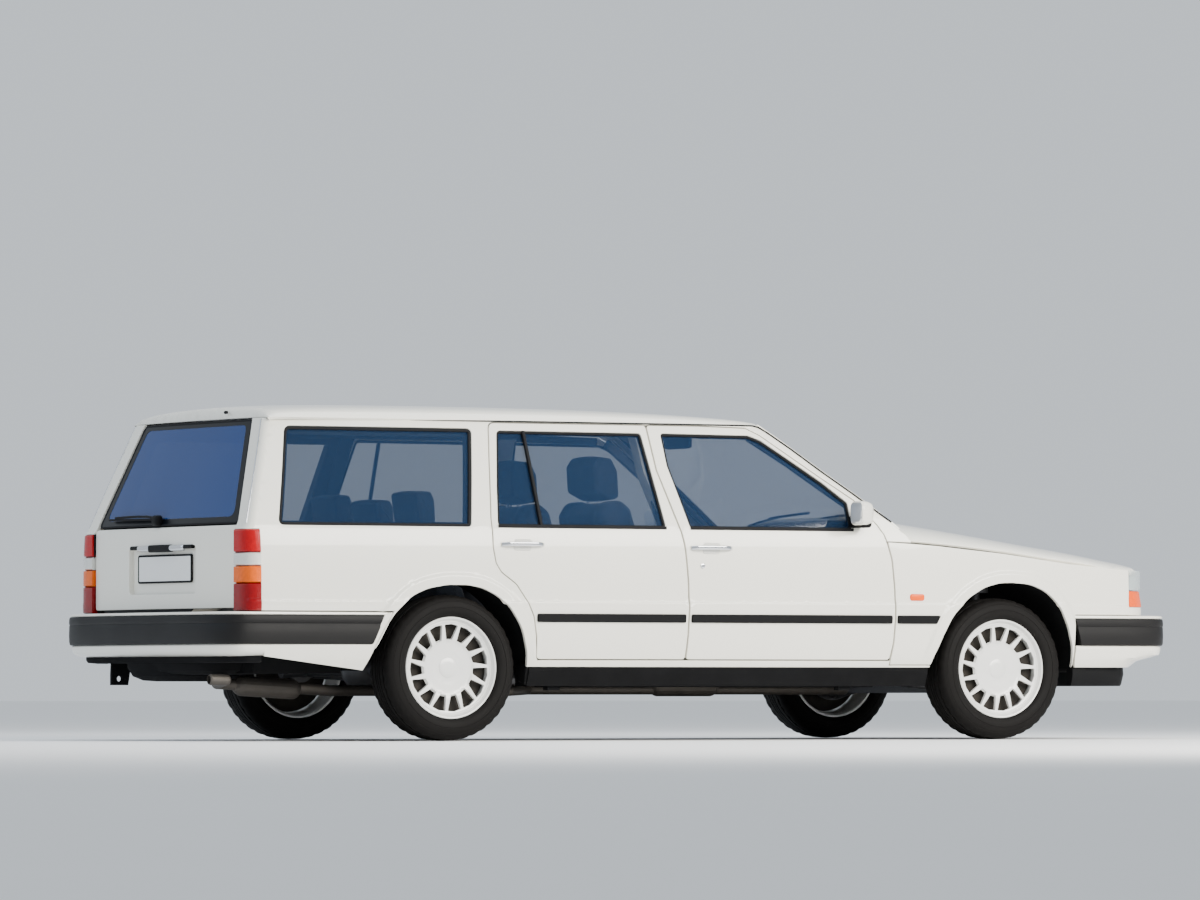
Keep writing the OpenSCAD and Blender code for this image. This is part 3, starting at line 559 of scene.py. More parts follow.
# ------------------------------------------------------------------ the body's surfaces
SEC = pchip([(190, 800), (318, 838), (345, 850), (420, 862), (520, 869), (596, 873.8), (604, 870), (680, 869.5), (760, 867.5), (860, 860), (905, 852), (925, 845),
             (1000, 819), (1340, 692), (1385, 674)])
PL = pchip([(-1000, 826), (-940, 838), (-600, 851), (0, 862), (600, 871), (1200, 875), (1900, 874), (2600, 866), (3100, 853), (3400, 838), (3480, 822), (3540, 795)])
REAR_ARCH = [(-424, 302), (-378, 400), (-330, 490), (-289, 548), (-211, 622), (-130, 655), (-40, 670), (60, 670), (133, 657), (200, 626), (260, 580), (323, 490), (353, 378), (362, 318)]
FRONT_ARCH = [(2392, 318), (2400, 360), (2445, 459), (2495, 550), (2575, 628), (2660, 676), (2740, 695), (2806, 697), (2901, 690), (2985, 660), (3055, 600), (3105, 505), (3130, 420), (3142, 318)]
ARCH_R, ARCH_F = (np.concatenate([[A[0]], rnd(A, 200, 3)[4:-4], [A[-1]]]) for A in (REAR_ARCH, FRONT_ARCH))


def sub_line(line, step=60):
    out = []
    for a, b in zip(line[:-1], line[1:]):
        a, b = np.array(a, float), np.array(b, float)
        n = max(1, int(np.linalg.norm(b - a) / step))
        out += [a + (b - a) * k / n for k in range(n)]
    return np.array(out + [np.array(line[-1], float)])


LIP_R, LIP_F = ARCH_R[::1], ARCH_F[::1]


def arch_rows(line, inset=0):
    """Points in rows along a wheel arch, so that its raised edge is well formed."""
    L = sub_line([tuple(p) for p in line], 16)
    t = np.gradient(L, axis=0)
    n = unit(np.stack([-t[:, 1], t[:, 0]], 1))
    q = np.concatenate([L + n * d for d in (14, 28, 36, 43, 51, 58, 68)])
    return q[np.abs(q[:, 1] - 600) > 13]


def lip(x, z):
    q = np.stack([x, z], -1)
    o = np.zeros(len(q))
    for line, lo, hi in ((LIP_R, -520, 480), (LIP_F, 2290, 3250)):
        k = (q[:, 0] > lo) & (q[:, 0] < hi)
        if k.any():
            d = dist_poly(line, q[k])
            o[k] = np.maximum(o[k], 9.0 * (1 - smooth(36, 58, d)) * smooth(300, 420, q[k][:, 1]))
    return o


def YS(x, z, lips=True):
    x, z = np.asarray(x, float).ravel(), np.asarray(z, float).ravel()
    y = SEC(z) + PL(x) - 875
    return y + lip(x, z) if lips else y


def side(s, off=0.0, lips=True):
    def f(u, v):
        u, v = np.asarray(u, float), np.asarray(v, float)
        h = 1.2
        y = YS(u, v, lips)
        dx = (YS(u + h, v, lips) - YS(u - h, v, lips)) / (2 * h)
        dz = (YS(u, v + h, lips) - YS(u, v - h, lips)) / (2 * h)
        n = unit(np.stack([-dx, np.ones(len(y)), -dz], 1))
        P = np.stack([u, y, v], 1) + off * n
        P[:, 1] *= s
        n[:, 1] *= s
        return P, n
    return f


def height_map(fz, s=1.0):
    """Surface z = fz(x, y), seen from above."""
    def f(u, v):
        u, v = np.asarray(u, float), np.asarray(v, float)
        h = 1.0
        z = fz(u, v)
        dx = (fz(u + h, v) - fz(u - h, v)) / (2 * h)
        dy = (fz(u, v + h) - fz(u, v - h)) / (2 * h)
        n = unit(np.stack([-dx, -dy, np.ones(len(z))], 1))
        return np.stack([u, v, z], 1), n
    return f


def off_map(f, d):
    def g(u, v):
        P, n = f(u, v)
        return P + n * d, n
    return g


def back_map(f):
    def g(u, v):
        P, n = f(u, v)
        return P, -n
    return g


# ------------------------------------------------------------------ side of the body
FD = [(1142, 352, 12), (2172, 352, 14), (2188, 430), (2194, 530), (2190, 662), (2178, 795), (2160, 862), (2146, 905, 20), (2120, 945, 30),
      (2023, 1055), (1873, 1153), (1739, 1245), (1600, 1341, 60), (1535, 1371, 40), (1300, 1377), (1040, 1377, 14), (1052, 1180),
      (1122, 911), (1136, 839), (1147, 708), (1152, 577), (1149, 460)]
RD = [(404, 352, 18), (1133, 352, 12), (1142, 460), (1145, 577), (1140, 708), (1129, 839), (1115, 911), (1096, 980), (1045, 1180), (1033, 1377, 14),
      (262, 1377, 30), (232, 1200), (195, 960), (191, 880), (191, 831), (202, 767, 40), (227, 728, 40), (299, 677, 60), (355, 599, 60), (386, 535, 60), (400, 450)]
FW = [(1170, 930, 12), (1987, 930, 12), (1985, 1046, 20), (1871, 1136), (1736, 1228), (1601, 1318, 30), (1544, 1338, 40), (1104, 1341, 14), (1108, 1200)]
RW = [(224, 930, 14), (1044, 930, 12), (1022, 1130), (1000, 1340, 14), (296, 1342, 22), (250, 1100)]
QW = [(-817, 930, 14), (85, 930, 12), (128, 1150), (164, 1344, 14), (-717, 1344, 30), (-770, 1120)]
DOORS = {"front": (rnd(FD, 14, 3), rnd(FW, 14, 4)), "rear": (rnd(RD, 14, 3), rnd(RW, 14, 4))}
FBOX = [(1196, 400), (2120, 400), (2136, 600), (2118, 800), (2095, 915), (1200, 915), (1206, 700)]
RBOX = [(470, 400), (1085, 400), (1092, 600), (1085, 800), (1072, 915), (245, 915), (250, 800), (330, 740), (410, 640), (455, 530)]


def gate_x(z):
    return np.interp(z, [560, 905, 925, 1382], [-982, -982, -966, -814])


def gate_y(z):
    return np.interp(z, [566, 918, 1382], [700, 700, 530])


CR = 34.0


def quarter(s):
    """The side, carried round the rear corner: past x = gate_x + CR the first number runs on round the corner and across the back."""
    def p(u, z):
        xs = gate_x(z) + CR
        ys = YS(xs, z)
        ysurf = YS(np.maximum(u, xs), z)
        th = np.clip((xs - u) / CR, 0, math.pi / 2)
        past = np.maximum(0, xs - u - CR * math.pi / 2)
        x = np.where(u >= xs, u, xs - CR * np.sin(th))
        y = np.where(u >= xs, ysurf, ys - CR * (1 - np.cos(th)) - past)
        return np.stack([x, s * y, z], 1)
    return num_map(p, (0, s, 0), -1)


def num_map(p, hint, sgn=1):
    def f(u, v):
        u, v = np.asarray(u, float).ravel(), np.asarray(v, float).ravel()
        h = 1.0
        P = p(u, v)
        a = p(u + h, v) - p(u - h, v)
        b = p(u, v + h) - p(u, v - h)
        n = unit(np.cross(a, b))
        if np.sum(n @ np.array(hint, float)) < 0:
            n = -n
        return P, n
    return f


def u_gate(z):
    xs = gate_x(z) + CR
    return xs - CR * math.pi / 2 - (YS(xs, z) - CR - gate_y(z) - 6.0)


def chain(poly, a, b):
    """Points of a closed polygon from the one nearest a to the one nearest b, going the way the polygon goes."""
    i = int(np.argmin(np.linalg.norm(poly - np.array(a), axis=1)))
    j = int(np.argmin(np.linalg.norm(poly - np.array(b), axis=1)))
    out = []
    while True:
        out.append(tuple(poly[i]))
        if i == j:
            return out
        i = (i + 1) % len(poly)


CREASE = [(x, z) for x in range(-900, 3440, 26) for z in (590, 596, 600, 604, 611)]
for s, sd in ((1, "left"), (-1, "right")):
    f_side = side(s)
    # door opening: both doors' outlines, 5.5 mm outside
    fo = grow(dense(ccw(DOORS["front"][0]), 30), 4.5)
    ro = grow(dense(ccw(DOORS["rear"][0]), 30), 4.5)
    front_run = chain(fo, (2148, 905), (1040, 1382))          # from the pillar's foot up and back
    rear_run = chain(ro, (1030, 1382), (404, 346.5))            # on over the rear door and down
    bottom = [(404, 346.5), (2177.5, 346.5)]
    zz = np.linspace(1384, 905, 12)
    ug = [(float(u_gate(np.array([z]))[0]), float(z)) for z in zz]
    outer = ([(2177.5, 326), (2391, 326), (2391, 318), (362, 318)] + [tuple(p) for p in ARCH_R[::-1]][1:-1] + [(-296, 556), (-918, 556), (-918, 903)]
             + [(u, z) for u, z in ug[::-1]] + [(1560, 1388), (1600, 1386), (1747, 1284), (1880, 1186), (2028, 1084), (2190, 964), (2262, 905), (2288, 872), (2162, 876)]
             + front_run + rear_run + bottom)
    q_hole = grow(dense(ccw(rnd(QW, 20, 4)), 40), 8)
    fm = quarter(s)
    panel("side_panel_" + sd, outer, [q_hole], fm, PAINT, "body", step=42, r=2.5, depth=16, slot="painted_steel",
          extra=[(u, z) for z in range(930, 1380, 40) for u in np.linspace(float(gate_x(z)) + CR, float(gate_x(z)) + CR - 53, 7)] + [tuple(p) for p in arch_rows(ARCH_R)] + CREASE,
          replaces=("body_side_" + sd,))
    # quarter glass with its rubber frame
    panel("quarter_frame_" + sd, grow(dense(ccw(rnd(QW, 20, 4)), 40), 7.6), [grow(dense(ccw(rnd(QW, 20, 4)), 40), -7)], side(s, -3), RUBBER, "body",
          step=200, r=5, depth=16, slot="bumper_plastic")
    panel("quarter_glass_" + sd, grow(dense(ccw(rnd(QW, 20, 4)), 40), -2), [], side(s, -9), GLASS, "body", step=90, r=0.8, depth=4, slot="glass",
          replaces=("quarter_glass",))
    # lower sill, dark
    panel("sill_" + sd, rnd([(364, 238), (2386, 238), (2390, 316), (362, 316)], 8, 2), [], side(s, -4, False), UNDER, "body", step=70, r=4, depth=60, slot="underbody_steel")
    # pillar behind the gap between the doors, and shut faces round the openings, in a darker copy of the paint: painted
    # shade inside the gaps
    bp = chain(fo, (1040, 1382), (1136, 346.5))
    bp = [(x - 5.5, z) for x, z in bp]
    panel("door_pillar_" + sd, [(x + 40, z) for x, z in bp] + [(x - 45, z) for x, z in bp[::-1]], [], side(s, -24, False), PAINT_SHADED, "body", step=60, r=2, depth=60)
    shut = ([(x + 1.0, z) for x, z in chain(fo, (2177, 346.5), (2148, 905))])
    panel("front_shut_" + sd, [(x + 32, z) for x, z in shut] + [(x - 24, z) for x, z in shut[::-1]], [], side(s, -24, False), PAINT_SHADED, "body", step=60, r=2, depth=20)
    # doors
    for which in ("front", "rear"):
        out, win = DOORS[which]
        body = f"{which}_door_{sd}"
        panel(body + "_skin", out, [grow(dense(ccw(win), 30), 3)], f_side, PAINT, body, step=40, r=2.4, depth=20, slot="painted_steel",
              extra=np.concatenate([CREASE, arch_rows(ARCH_R)]),
              replaces=(f"{which}_door_{sd}",))
        card = FBOX if which == "front" else RBOX
        panel(body + "_card", rnd(card, 30, 3), [], back_map(side(s, -81, False)), CABIN_G, body, step=60, r=8, depth=58, slot="cabin_plastic", back=False)
        panel(body + "_seal", grow(dense(ccw(win), 30), 2.5), [grow(dense(ccw(win), 30), -8)], side(s, -4), RUBBER, body, step=200, r=4, depth=18, slot="bumper_plastic")
        panel(body + "_glass", grow(dense(ccw(win), 30), -3), [], side(s, -11), GLASS, body, step=90, r=0.8, depth=4, slot="glass",
              replaces=(f"{which}_glass_{sd}",))
        # belt moulding
        a, b = (1168, 1992) if which == "front" else (222, 1046)
        xs = np.linspace(a, b, 14)
        P, N = side(s, 1.5)(xs, np.full(14, 925.0))
        bar(body + "_belt", P, 12, 14, 4, RUBBER, body)
        # rub strip
        a, b = (1158, 2178) if which == "front" else (398, 1130)
        panel(body + "_strip", rnd([(a, 512), (b, 512), (b, 549), (a, 549)], 7, 3), [], side(s, 11), TRIM, body, step=60, r=5, depth=11, slot="bumper_plastic", back=False)
        # armrest and door pocket on the inside
        cx = 1640 if which == "front" else 760
        yi = float(YS([cx], [660])[0]) - 81
        rbox(body + "_armrest", (cx - 20, s * (yi - 22), 690), (400, 56, 52), 20, CABIN, body, slot="cabin_plastic")
        rbox(body + "_pocket", (cx + 60, s * (yi - 12), 470), (560, 30, 110), 12, CABIN, body, slot="cabin_plastic")
        # pull handle in a shallow dish, which is a darker copy of the paint: painted shade of the recess
        hx, hz = (1262, 838) if which == "front" else (330, 846)
        panel(body + "_dish", rnd([(hx - 46, hz - 26), (hx + 40, hz - 26), (hx + 50, hz + 24), (hx - 36, hz + 24)], 14, 4), [], side(s, 1.6), PAINT_SHADED, body, step=60, r=3, depth=2, back=False)
        xs = hx + np.array([-98, -92, -78, -60, 0, 60, 78, 92, 98])
        lift = np.array([3, 9, 18, 21, 23, 21, 18, 9, 3])
        P, N = side(s)(xs, np.full(9, float(hz)))
        bar(body + "_handle", P + N * lift[:, None], 13, 19, 5, CHROME, body, slot="bright_trim")
    # divider of the rear door's window
    P, N = side(s, -4)(np.linspace(433, 423, 6), np.linspace(926, 1342, 6))
    bar(f"rear_door_{sd}_divider", P, 16, 15, 4, RUBBER, f"rear_door_{sd}", up=(1, 0, 0), slot="bumper_plastic")
    # lock barrel
    P, N = side(s)([1216, 1216], [760, 760])
    revolve(f"front_door_{sd}_lock", [(0.01, -2), (11, -2), (11, 3.5), (9, 4.5), (4, 4.5), (3, 3), (0.01, 3)], (1216, P[0][1], 760), s, CHROME, f"front_door_{sd}", seg=24, closed=False)
    # mirror
    mx, my, mz = 1984, 952, 1000
    rings = []
    for t, w, h in ((0, 0.72, 0.72), (0.03, 0.9, 0.9), (0.12, 1, 1), (0.5, 0.98, 0.97), (0.8, 0.84, 0.84), (0.95, 0.62, 0.64), (1.0, 0.4, 0.42)):
        x = 1952 + t * 92
        rings.append(ring_rect((x, s * (938 - t * 34), mz - 2), (0, s * 1, 0), (0, 0, 1), 116 * w, 106 * h, 28 * min(w, h)))
    loft(f"mirror_shell_{sd}", rings, PAINT, f"front_door_{sd}", slot="painted_steel", replaces=("door_mirror_" + sd,))
    # mirror glass: half metal, its pale diffuse part is painted reflection
    rings = [ring_rect((1950.5 - t, s * 938, mz - 2), (0, s, 0), (0, 0, 1), 88 - 4 * t, 80 - 4 * t, 20) for t in (-3, 0, 1)]
    loft(f"mirror_glass_{sd}", rings, MIRROR_SILVER_REFL, f"front_door_{sd}")
    rings = [ring_rect((2008 + k * 4, s * y, 962 - k * 2), (1, 0, 0), (0, 0, 1), 62, 56 - 4 * k, 16) for k, y in ((0, 832), (1, 862), (2, 884), (3, 905))]
    loft(f"mirror_arm_{sd}", rings, TRIM, f"front_door_{sd}")
    # wing
    outer = ([(2165, 873), (2185, 795), (2197, 662), (2201, 530), (2195, 430), (2182, 352), (2182, 330), (2393, 330)] + [tuple(p) for p in ARCH_F[1:]]
             + [(3146, 556), (3443, 556), (3443, 757), (3350, 764), (3123, 783), (2770, 826), (2423, 858), (2290, 867)])
    panel("wing_" + sd + "_skin", outer, [], side(s), PAINT, "body", step=40, r=3, depth=15, extra=np.concatenate([arch_rows(ARCH_F), CREASE]), slot="painted_steel", replaces=("wing_" + sd,))
    panel("wing_strip_" + sd, rnd([(2206, 512), (2412, 512), (2432, 549), (2206, 549)], 7, 3), [], side(s, 10), TRIM, "body", step=60, r=5, depth=10, slot="bumper_plastic", back=False)
    P, N = side(s)([2308, 2308], [629, 629])
    rings = [ring_rect((2308, P[0][1] + s * d, 629), (1, 0, 0), (0, 0, 1), w, h, 11) for d, w, h in ((-3, 74, 30), (2, 74, 30), (6, 68, 25), (7.5, 56, 16))]
    loft("side_marker_" + sd, rings, AMBER, "body", slot="lamp_amber")
    # liners of the wheel arches
    for nm, line, cx, r, ya, yb in (("rear", ARCH_R, 0, 385, 600, 838), ("front", ARCH_F, 2770, 388, 455, 836)):
        Lp = grow(np.array(line + 0.0), 0) if False else np.array(line)
        c = np.array([cx, 314.0])
        d = unit(Lp - c)
        rr = np.maximum(np.linalg.norm(Lp - c, axis=1) + 10, r)
        Lp = c + d * rr[:, None]
        rings = []
        for y in np.linspace(ya, yb, 5):
            yy = np.minimum(y, YS(Lp[:, 0], Lp[:, 1]) - 10)
            rings.append(np.concatenate([np.stack([Lp[:, 0], s * yy, Lp[:, 1]], 1), np.stack([Lp[::-1, 0] + 4 * d[::-1, 0], s * yy[::-1], Lp[::-1, 1] + 4 * d[::-1, 1]], 1)]))
        loft(f"arch_liner_{nm}_{sd}", rings, UNDER, "body", slot="underbody_steel")
    # inner trim of the load space
    wheel = [(392, 405)] + [tuple(np.array([0, 314]) + 400 * np.array([math.cos(a), math.sin(a)])) for a in np.linspace(0.35, math.pi - 0.6, 12)]
    panel("load_trim_" + sd, rnd([(-900, 545), (-900, 905), (-880, 925), (-765, 1368), (215, 1368), (205, 1150), (205, 760), (240, 728), (-330, 728), (-420, 650), (-462, 545)], 20, 2),
          [grow(dense(ccw(rnd(QW, 20, 4)), 40), -14)], back_map(side(s, -52, False)), CABIN_G, "body", step=80, r=6, depth=40, slot="cabin_plastic", back=False)

# ------------------------------------------------------------------ roof
RZ = pchip([(-770, 1440), (-700, 1448), (-600, 1454), (-300, 1461), (200, 1463), (700, 1460), (1100, 1451), (1400, 1436), (1560, 1421), (1606, 1411)])
G_T = pchip([(0, 1), (0.37, 0.949), (0.71, 0.795), (0.888, 0.603), (0.969, 0.32), (1.0, 0.02)])
RP = np.array([(-806, 1388), (-805, 1400), (-802, 1414), (-794, 1426), (-782, 1435), (-768, 1440.5)])
RL = np.concatenate([[0], np.cumsum(np.linalg.norm(np.diff(RP, axis=0), axis=1))])
TV = np.linspace(0, 1, 400)
_yy, _zz = TV * 672, G_T(TV) * 76
_al = np.concatenate([[0], np.cumsum(np.hypot(np.diff(_yy), np.diff(_zz)))])
_al /= _al[-1]


def roof_p(u, v):
    """u is length along the roof from its rear lower edge, v runs -1..1 in thousandths across it."""
    t = np.interp(np.abs(v) / 1000, _al, TV)
    x = np.where(u < RL[-1], np.interp(u, RL, RP[:, 0]), u - RL[-1] - 768)
    zc = np.where(u < RL[-1], np.interp(u, RL, RP[:, 1]), RZ(x))
    half = np.interp(x, [-806, -780, -700, 1300, 1500, 1606], [664, 670, 673, 673, 671, 668])
    return np.stack([x + 3.0 * t * t * (x < -700), np.sign(v) * t * half, 1384 + (zc - 1384) * G_T(t)], 1)


UR = RL[-1] + 768 + 1602
panel("roof_skin", rnd([(0, -996), (UR, -996), (UR + 6, -500), (UR + 8, 0), (UR + 6, 500), (UR, 996), (0, 996)], 4, 2), [], num_map(roof_p, (0, 0, 1)), PAINT, "body",
      step=60, r=2, depth=14, slot="painted_steel", replaces=("roof_panel",),
      extra=[(u, v) for u in np.linspace(6, RL[-1] + 30, 7) for v in range(-980, 990, 70)] + [(u, s * v) for u in range(90, int(UR) - 20, 60) for v in (962, 975, 986) for s in (1, -1)])
panel("headliner", rnd([(-780, -610), (1520, -590), (1540, 0), (1520, 590), (-780, 610)], 30, 2), [],
      height_map(lambda x, y: 1408 - 30 * (np.abs(y) / 620) ** 2 + 8 * np.sin((x + 780) / 2300 * math.pi)), HEADLINER, "body", step=80, r=3, depth=6, slot="cabin_plastic")
# washer nozzle
rbox("washer_nozzle", (-812, -277, 1416), (16, 22, 14), 6, RUBBER, "body", n=4)
for s, sd in ((1, "left"), (-1, "right")):
    xs = [-800, -700, -400, 0, 400, 800, 1200, 1500, 1575, 1604, 1640, 1747, 1880, 2028, 2150, 2196]
    zs = [1382, 1383, 1384, 1384, 1384, 1384, 1384, 1384, 1383, 1377, 1356, 1283, 1185, 1083, 994, 962]
    P, N = side(s)(xs, np.minimum(zs, 1384))
    P[:, 2] = zs
    bar("drip_strip_" + sd, P + N * 1.5, 8, 7, 2.5, RUBBER, "body", slot="bumper_plastic")

# ------------------------------------------------------------------ windscreen and its pillars
B0, B1 = np.array([2252.0, 985.0]), np.array([1610.0, 1398.0])
LW = float(np.linalg.norm(B1 - B0))
DW = (B1 - B0) / LW
QWN = np.array([-DW[1], DW[0]]) * -1.0
BEND = pchip([(0, 0), (200, 2), (380, 8), (520, 18), (640, 34), (760, 58), (830, 78)])


def screen_p(u, v):
    b = BEND(np.abs(u)) * (1 - 0.35 * np.clip(v / LW, 0, 1))
    x = B0[0] + DW[0] * v - abs(QWN[0]) * b
    z = B0[1] + DW[1] * v - abs(QWN[1]) * b
    return np.stack([x, u, z], 1)


f_screen = num_map(screen_p, (1, 0, 1))
panel("windscreen_glass", rnd([(-744, -34), (744, -34), (588, LW + 4), (-588, LW + 4)], 40, 5), [], f_screen, GLASS_F, "body", step=70, r=1, depth=5, slot="glass", replaces=("windscreen",))
panel("windscreen_rubber", rnd([(-762, -48), (762, -48), (604, LW + 16), (-604, LW + 16)], 44, 5), [rnd([(-728, -16), (728, -16), (574, LW - 12), (-574, LW - 12)], 40, 5)],
      off_map(f_screen, 3), RUBBER, "body", step=300, r=4, depth=14)
for s, sd in ((1, "left"), (-1, "right")):
    rings = []
    for x, z in ((1600, 1386), (1680, 1332), (1747, 1284), (1880, 1186), (2028, 1084), (2110, 1024), (2190, 964), (2230, 930)):
        Pa, Na = side(s)([x], [min(z, 1384)])
        a = np.array([x, Pa[0][1], z])
        k = (1386 - z) / (1386 - 930)
        v = LW * (1 - k) - 6 + 0 * k
        b = screen_p(np.array([s * (600 + k * 158)]), np.array([v - 26 * k]))[0]
        m = (a + b) / 2 + np.array([3, s * 3, 5])
        rings.append([a + np.array([-2, s * 1, 1]), a + np.array([4, 0, 4]), m, b + np.array([2, 0, 3]), b + np.array([-6, 0, -10]), a + np.array([-14, -s * 16, -10])])
    loft("screen_pillar_" + sd, rings, PAINT, "body", slot="painted_steel", sharp=50)

# ------------------------------------------------------------------ bonnet
HT = np.array([(2262, 1000, 880, 832), (2420, 975, 869, 838), (2600, 949, 853, 840), (2800, 919, 835, 838), (3000, 889, 813, 834), (3200, 860, 789, 828), (3350, 836, 771, 822),
               (3450, 817, 763, 838), (3530, 798, 760, 832), (3580, 782, 758, 828), (3612, 766, 757, 824)])
SHUT = pchip([(2251, 872), (2423, 862), (2770, 831), (3123, 788), (3436, 761), (3530, 760), (3612, 757)])
H_M, H_W0 = (pchip(HT[:, (0, k)]) for k in (1, 3))
H_E = SHUT


def H_W(x):
    """Half width of the bonnet: flush with the sides, then following the nose."""
    k = smooth(3420, 3500, x)
    return (YS(x, SHUT(x), False) - 1.0).reshape(np.shape(x)) * (1 - k) + H_W0(x) * k



_t = np.linspace(0, 1, 600)
_h = (1 - _t ** 3.0) ** 0.55
_l = np.concatenate([[0], np.cumsum(np.hypot(np.diff(_t * 838), np.diff(_h * 84)))])
_l /= _l[-1]


def bonnet_p(u, v):
    t = np.interp(np.abs(v) / 838, _l, _t)
    h = np.interp(t, _t, _h)
    # the front edge bends back towards the sides
    back = np.interp(t, [0, 0.3, 0.6, 0.8, 0.9, 0.96, 1.0], [0, 4, 20, 44, 74, 110, 158])
    x = u - back * smooth(3150, 3612, u)
    zm = H_M(u)
    # crease lines and a slight rise in the middle
    z = H_E(u) + (zm - H_E(u)) * h + 4.0 * smooth(0.36, 0.33, t) * smooth(2262, 2500, u) * smooth(3600, 3300, u)
    roll = smooth(3585, 3612, u) * 9
    return np.stack([x, np.sign(v) * t * H_W(u), z - roll], 1)


panel("bonnet_skin", rnd([(2266, -832), (3612, -832), (3612, 832), (2266, 832)], 14, 4), [], num_map(bonnet_p, (0, 0, 1)), PAINT, "bonnet", step=52, r=3, depth=16,
      slot="painted_steel", replaces=("bonnet",), extra=[(u, v) for u in (3560, 3585, 3600) for v in range(-810, 820, 45)]
      + [(u, s * v) for u in range(2300, 3600, 45) for v in (700, 750, 780, 800, 815) for s in (1, -1)])

# cowl with slots, and wipers
panel("cowl", rnd([(2196, -745), (2262, -745), (2262, 745), (2196, 745)], 8, 3), [rnd([(2222, y), (2250, y), (2250, y + 34), (2222, y + 34)], 6, 3) for y in range(-640, 620, 44)],
      height_map(lambda x, y: 968 - (x - 2196) * 0.12 - 78 * (np.abs(y) / 745) ** 2.4), TRIM, "body", step=60, r=2.5, depth=22, slot="bumper_plastic")
for k, (y0, y1) in enumerate(((-40, -640), (560, -30))):
    P = screen_p(np.array([y0, (y0 + y1) / 2, y1], float), np.array([-22.0, 8, 44])) + np.array([4, 0, 16])
    bar(f"wiper_arm_{k}", [P[0], P[0] * 0.6 + P[1] * 0.4 + np.array([0, 0, 4]), P[1]], 9, 9, 3, RUBBER, "body")
    yb = np.linspace(y1 - 40 * np.sign(y1 - y0) * -1, (y0 + y1) / 2 + 60 * np.sign(y1 - y0) * -1, 7)
    P2 = screen_p(yb, np.linspace(46, 20, 7)) + np.array([4, 0, 8])
    bar(f"wiper_blade_{k}", P2, 8, 12, 3, RUBBER, "body")

# ------------------------------------------------------------------ tailgate
def gate_map(off=0.0):
    """First number is y, second runs up the face: z below 905, then along the glass."""
    prof = np.array([(-986, 560), (-986, 900), (-984, 912), (-977, 922), (-818, 1382)], float)
    L = np.concatenate([[560 - 560], np.cumsum(np.linalg.norm(np.diff(prof, axis=0), axis=1))]) + 560

    def p(u, v):
        x = np.interp(v, L, prof[:, 0])
        z = np.interp(v, L, prof[:, 1])
        x = x + 16 * (np.abs(u) / 700) ** 2.6
        return np.stack([x - off, u, z], 1)
    return num_map(p, (-1, 0, 0.0)), L


GM, GL = gate_map()
VT = GL[-1]
panel("tailgate_skin", rnd([(-700, 568, 16), (700, 568, 16), (700, 908, 10), (697, 926, 10), (-697, 926, 10), (-700, 908, 10)], 12, 3),
      [rnd([(-332, 634), (332, 634), (332, 842), (-332, 842)], 26, 5)], GM, PAINT, "tailgate", step=45, r=3.5, depth=24, slot="painted_steel", replaces=("tailgate",),
      extra=[(y, z) for y in range(-680, 690, 45) for z in (898, 906, 914)])
panel("tailgate_recess", rnd([(-336, 630), (336, 630), (336, 846), (-336, 846)], 28, 5), [], gate_map(-23)[0], PAINT, "tailgate", step=60, r=2, depth=6, slot="painted_steel")
panel("tailgate_plate", rnd([(-260, 687), (260, 687), (260, 799), (-260, 799)], 9, 3), [], gate_map(-14)[0], PLATE, "tailgate", step=60, r=2, depth=5, slot="plate", replaces=("number_plate",))
panel("plate_border", rnd([(-266, 681), (266, 681), (266, 805), (-266, 805)], 12, 3), [rnd([(-257, 690), (257, 690), (257, 796), (-257, 796)], 7, 3)], gate_map(-12)[0], RUBBER, "tailgate",
      step=200, r=2, depth=7)
rings = [ring_rect((-986 + y * y / 30000, y, 836), (1, 0, 0), (0, 0, 1), 18, 17, 6) for y in np.linspace(-306, 306, 13)]
loft("gate_bar", rings, TRIM, "tailgate", slot="bumper_plastic")
for s in (1, -1):
    rings = [ring_rect((-990 + y * y / 30000, s * y, 832), (1, 0, 0), (0, 0, 1), 24 + k, 26 + k, 9) for y, k in ((96, 0), (150, 0), (216, 0), (224, -5), (228, -12))]
    loft(f"gate_bar_bright_{s + 1}", rings, CHROME, "tailgate", slot="bright_trim")
rings = [ring_rect((-990, y, 831), (1, 0, 0), (0, 0, 1), 24 + k, 32 + k, 9) for y, k in ((-108, -8), (-104, 0), (0, 1), (104, 0), (108, -8))]
loft("gate_bar_grip", rings, TRIM, "tailgate", slot="bumper_plastic")
# glass, its dark border, inner frame
gy = 530 + 166
og = rnd([(-692, 934, 22), (692, 934, 22), (526, VT - 4, 34), (-526, VT - 4, 34)], 26, 5)
ig = rnd([(-632, 964, 34), (632, 964, 34), (486, VT - 28, 40), (-486, VT - 28, 40)], 40, 5)
# the pane's deep blue colour is tint plus painted sky reflection
panel("tailgate_pane", og, [], gate_map(-4.4)[0], GLASS_REAR_TINT_REFL, "tailgate", step=90, r=1.2, depth=4, slot="glass", replaces=("tailgate_glass",))
panel("tailgate_glass_border", grow(dense(ccw(og), 30), -2), [ig], gate_map(-3.2)[0], BLACK_G, "tailgate", step=60, r=0.8, depth=30, slot="glass")
panel("tailgate_glass_edge", grow(dense(ccw(og), 30), 2.5), [grow(dense(ccw(og), 30), -7)], gate_map(-1)[0], RUBBER, "tailgate", step=300, r=3, depth=16)
panel("tailgate_inner", rnd([(-660, 590), (660, 590), (660, 912), (-660, 912)], 40, 4), [], back_map(gate_map(-50)[0]), CABIN_G, "tailgate", step=80, r=10, depth=28, back=False, slot="cabin_plastic")
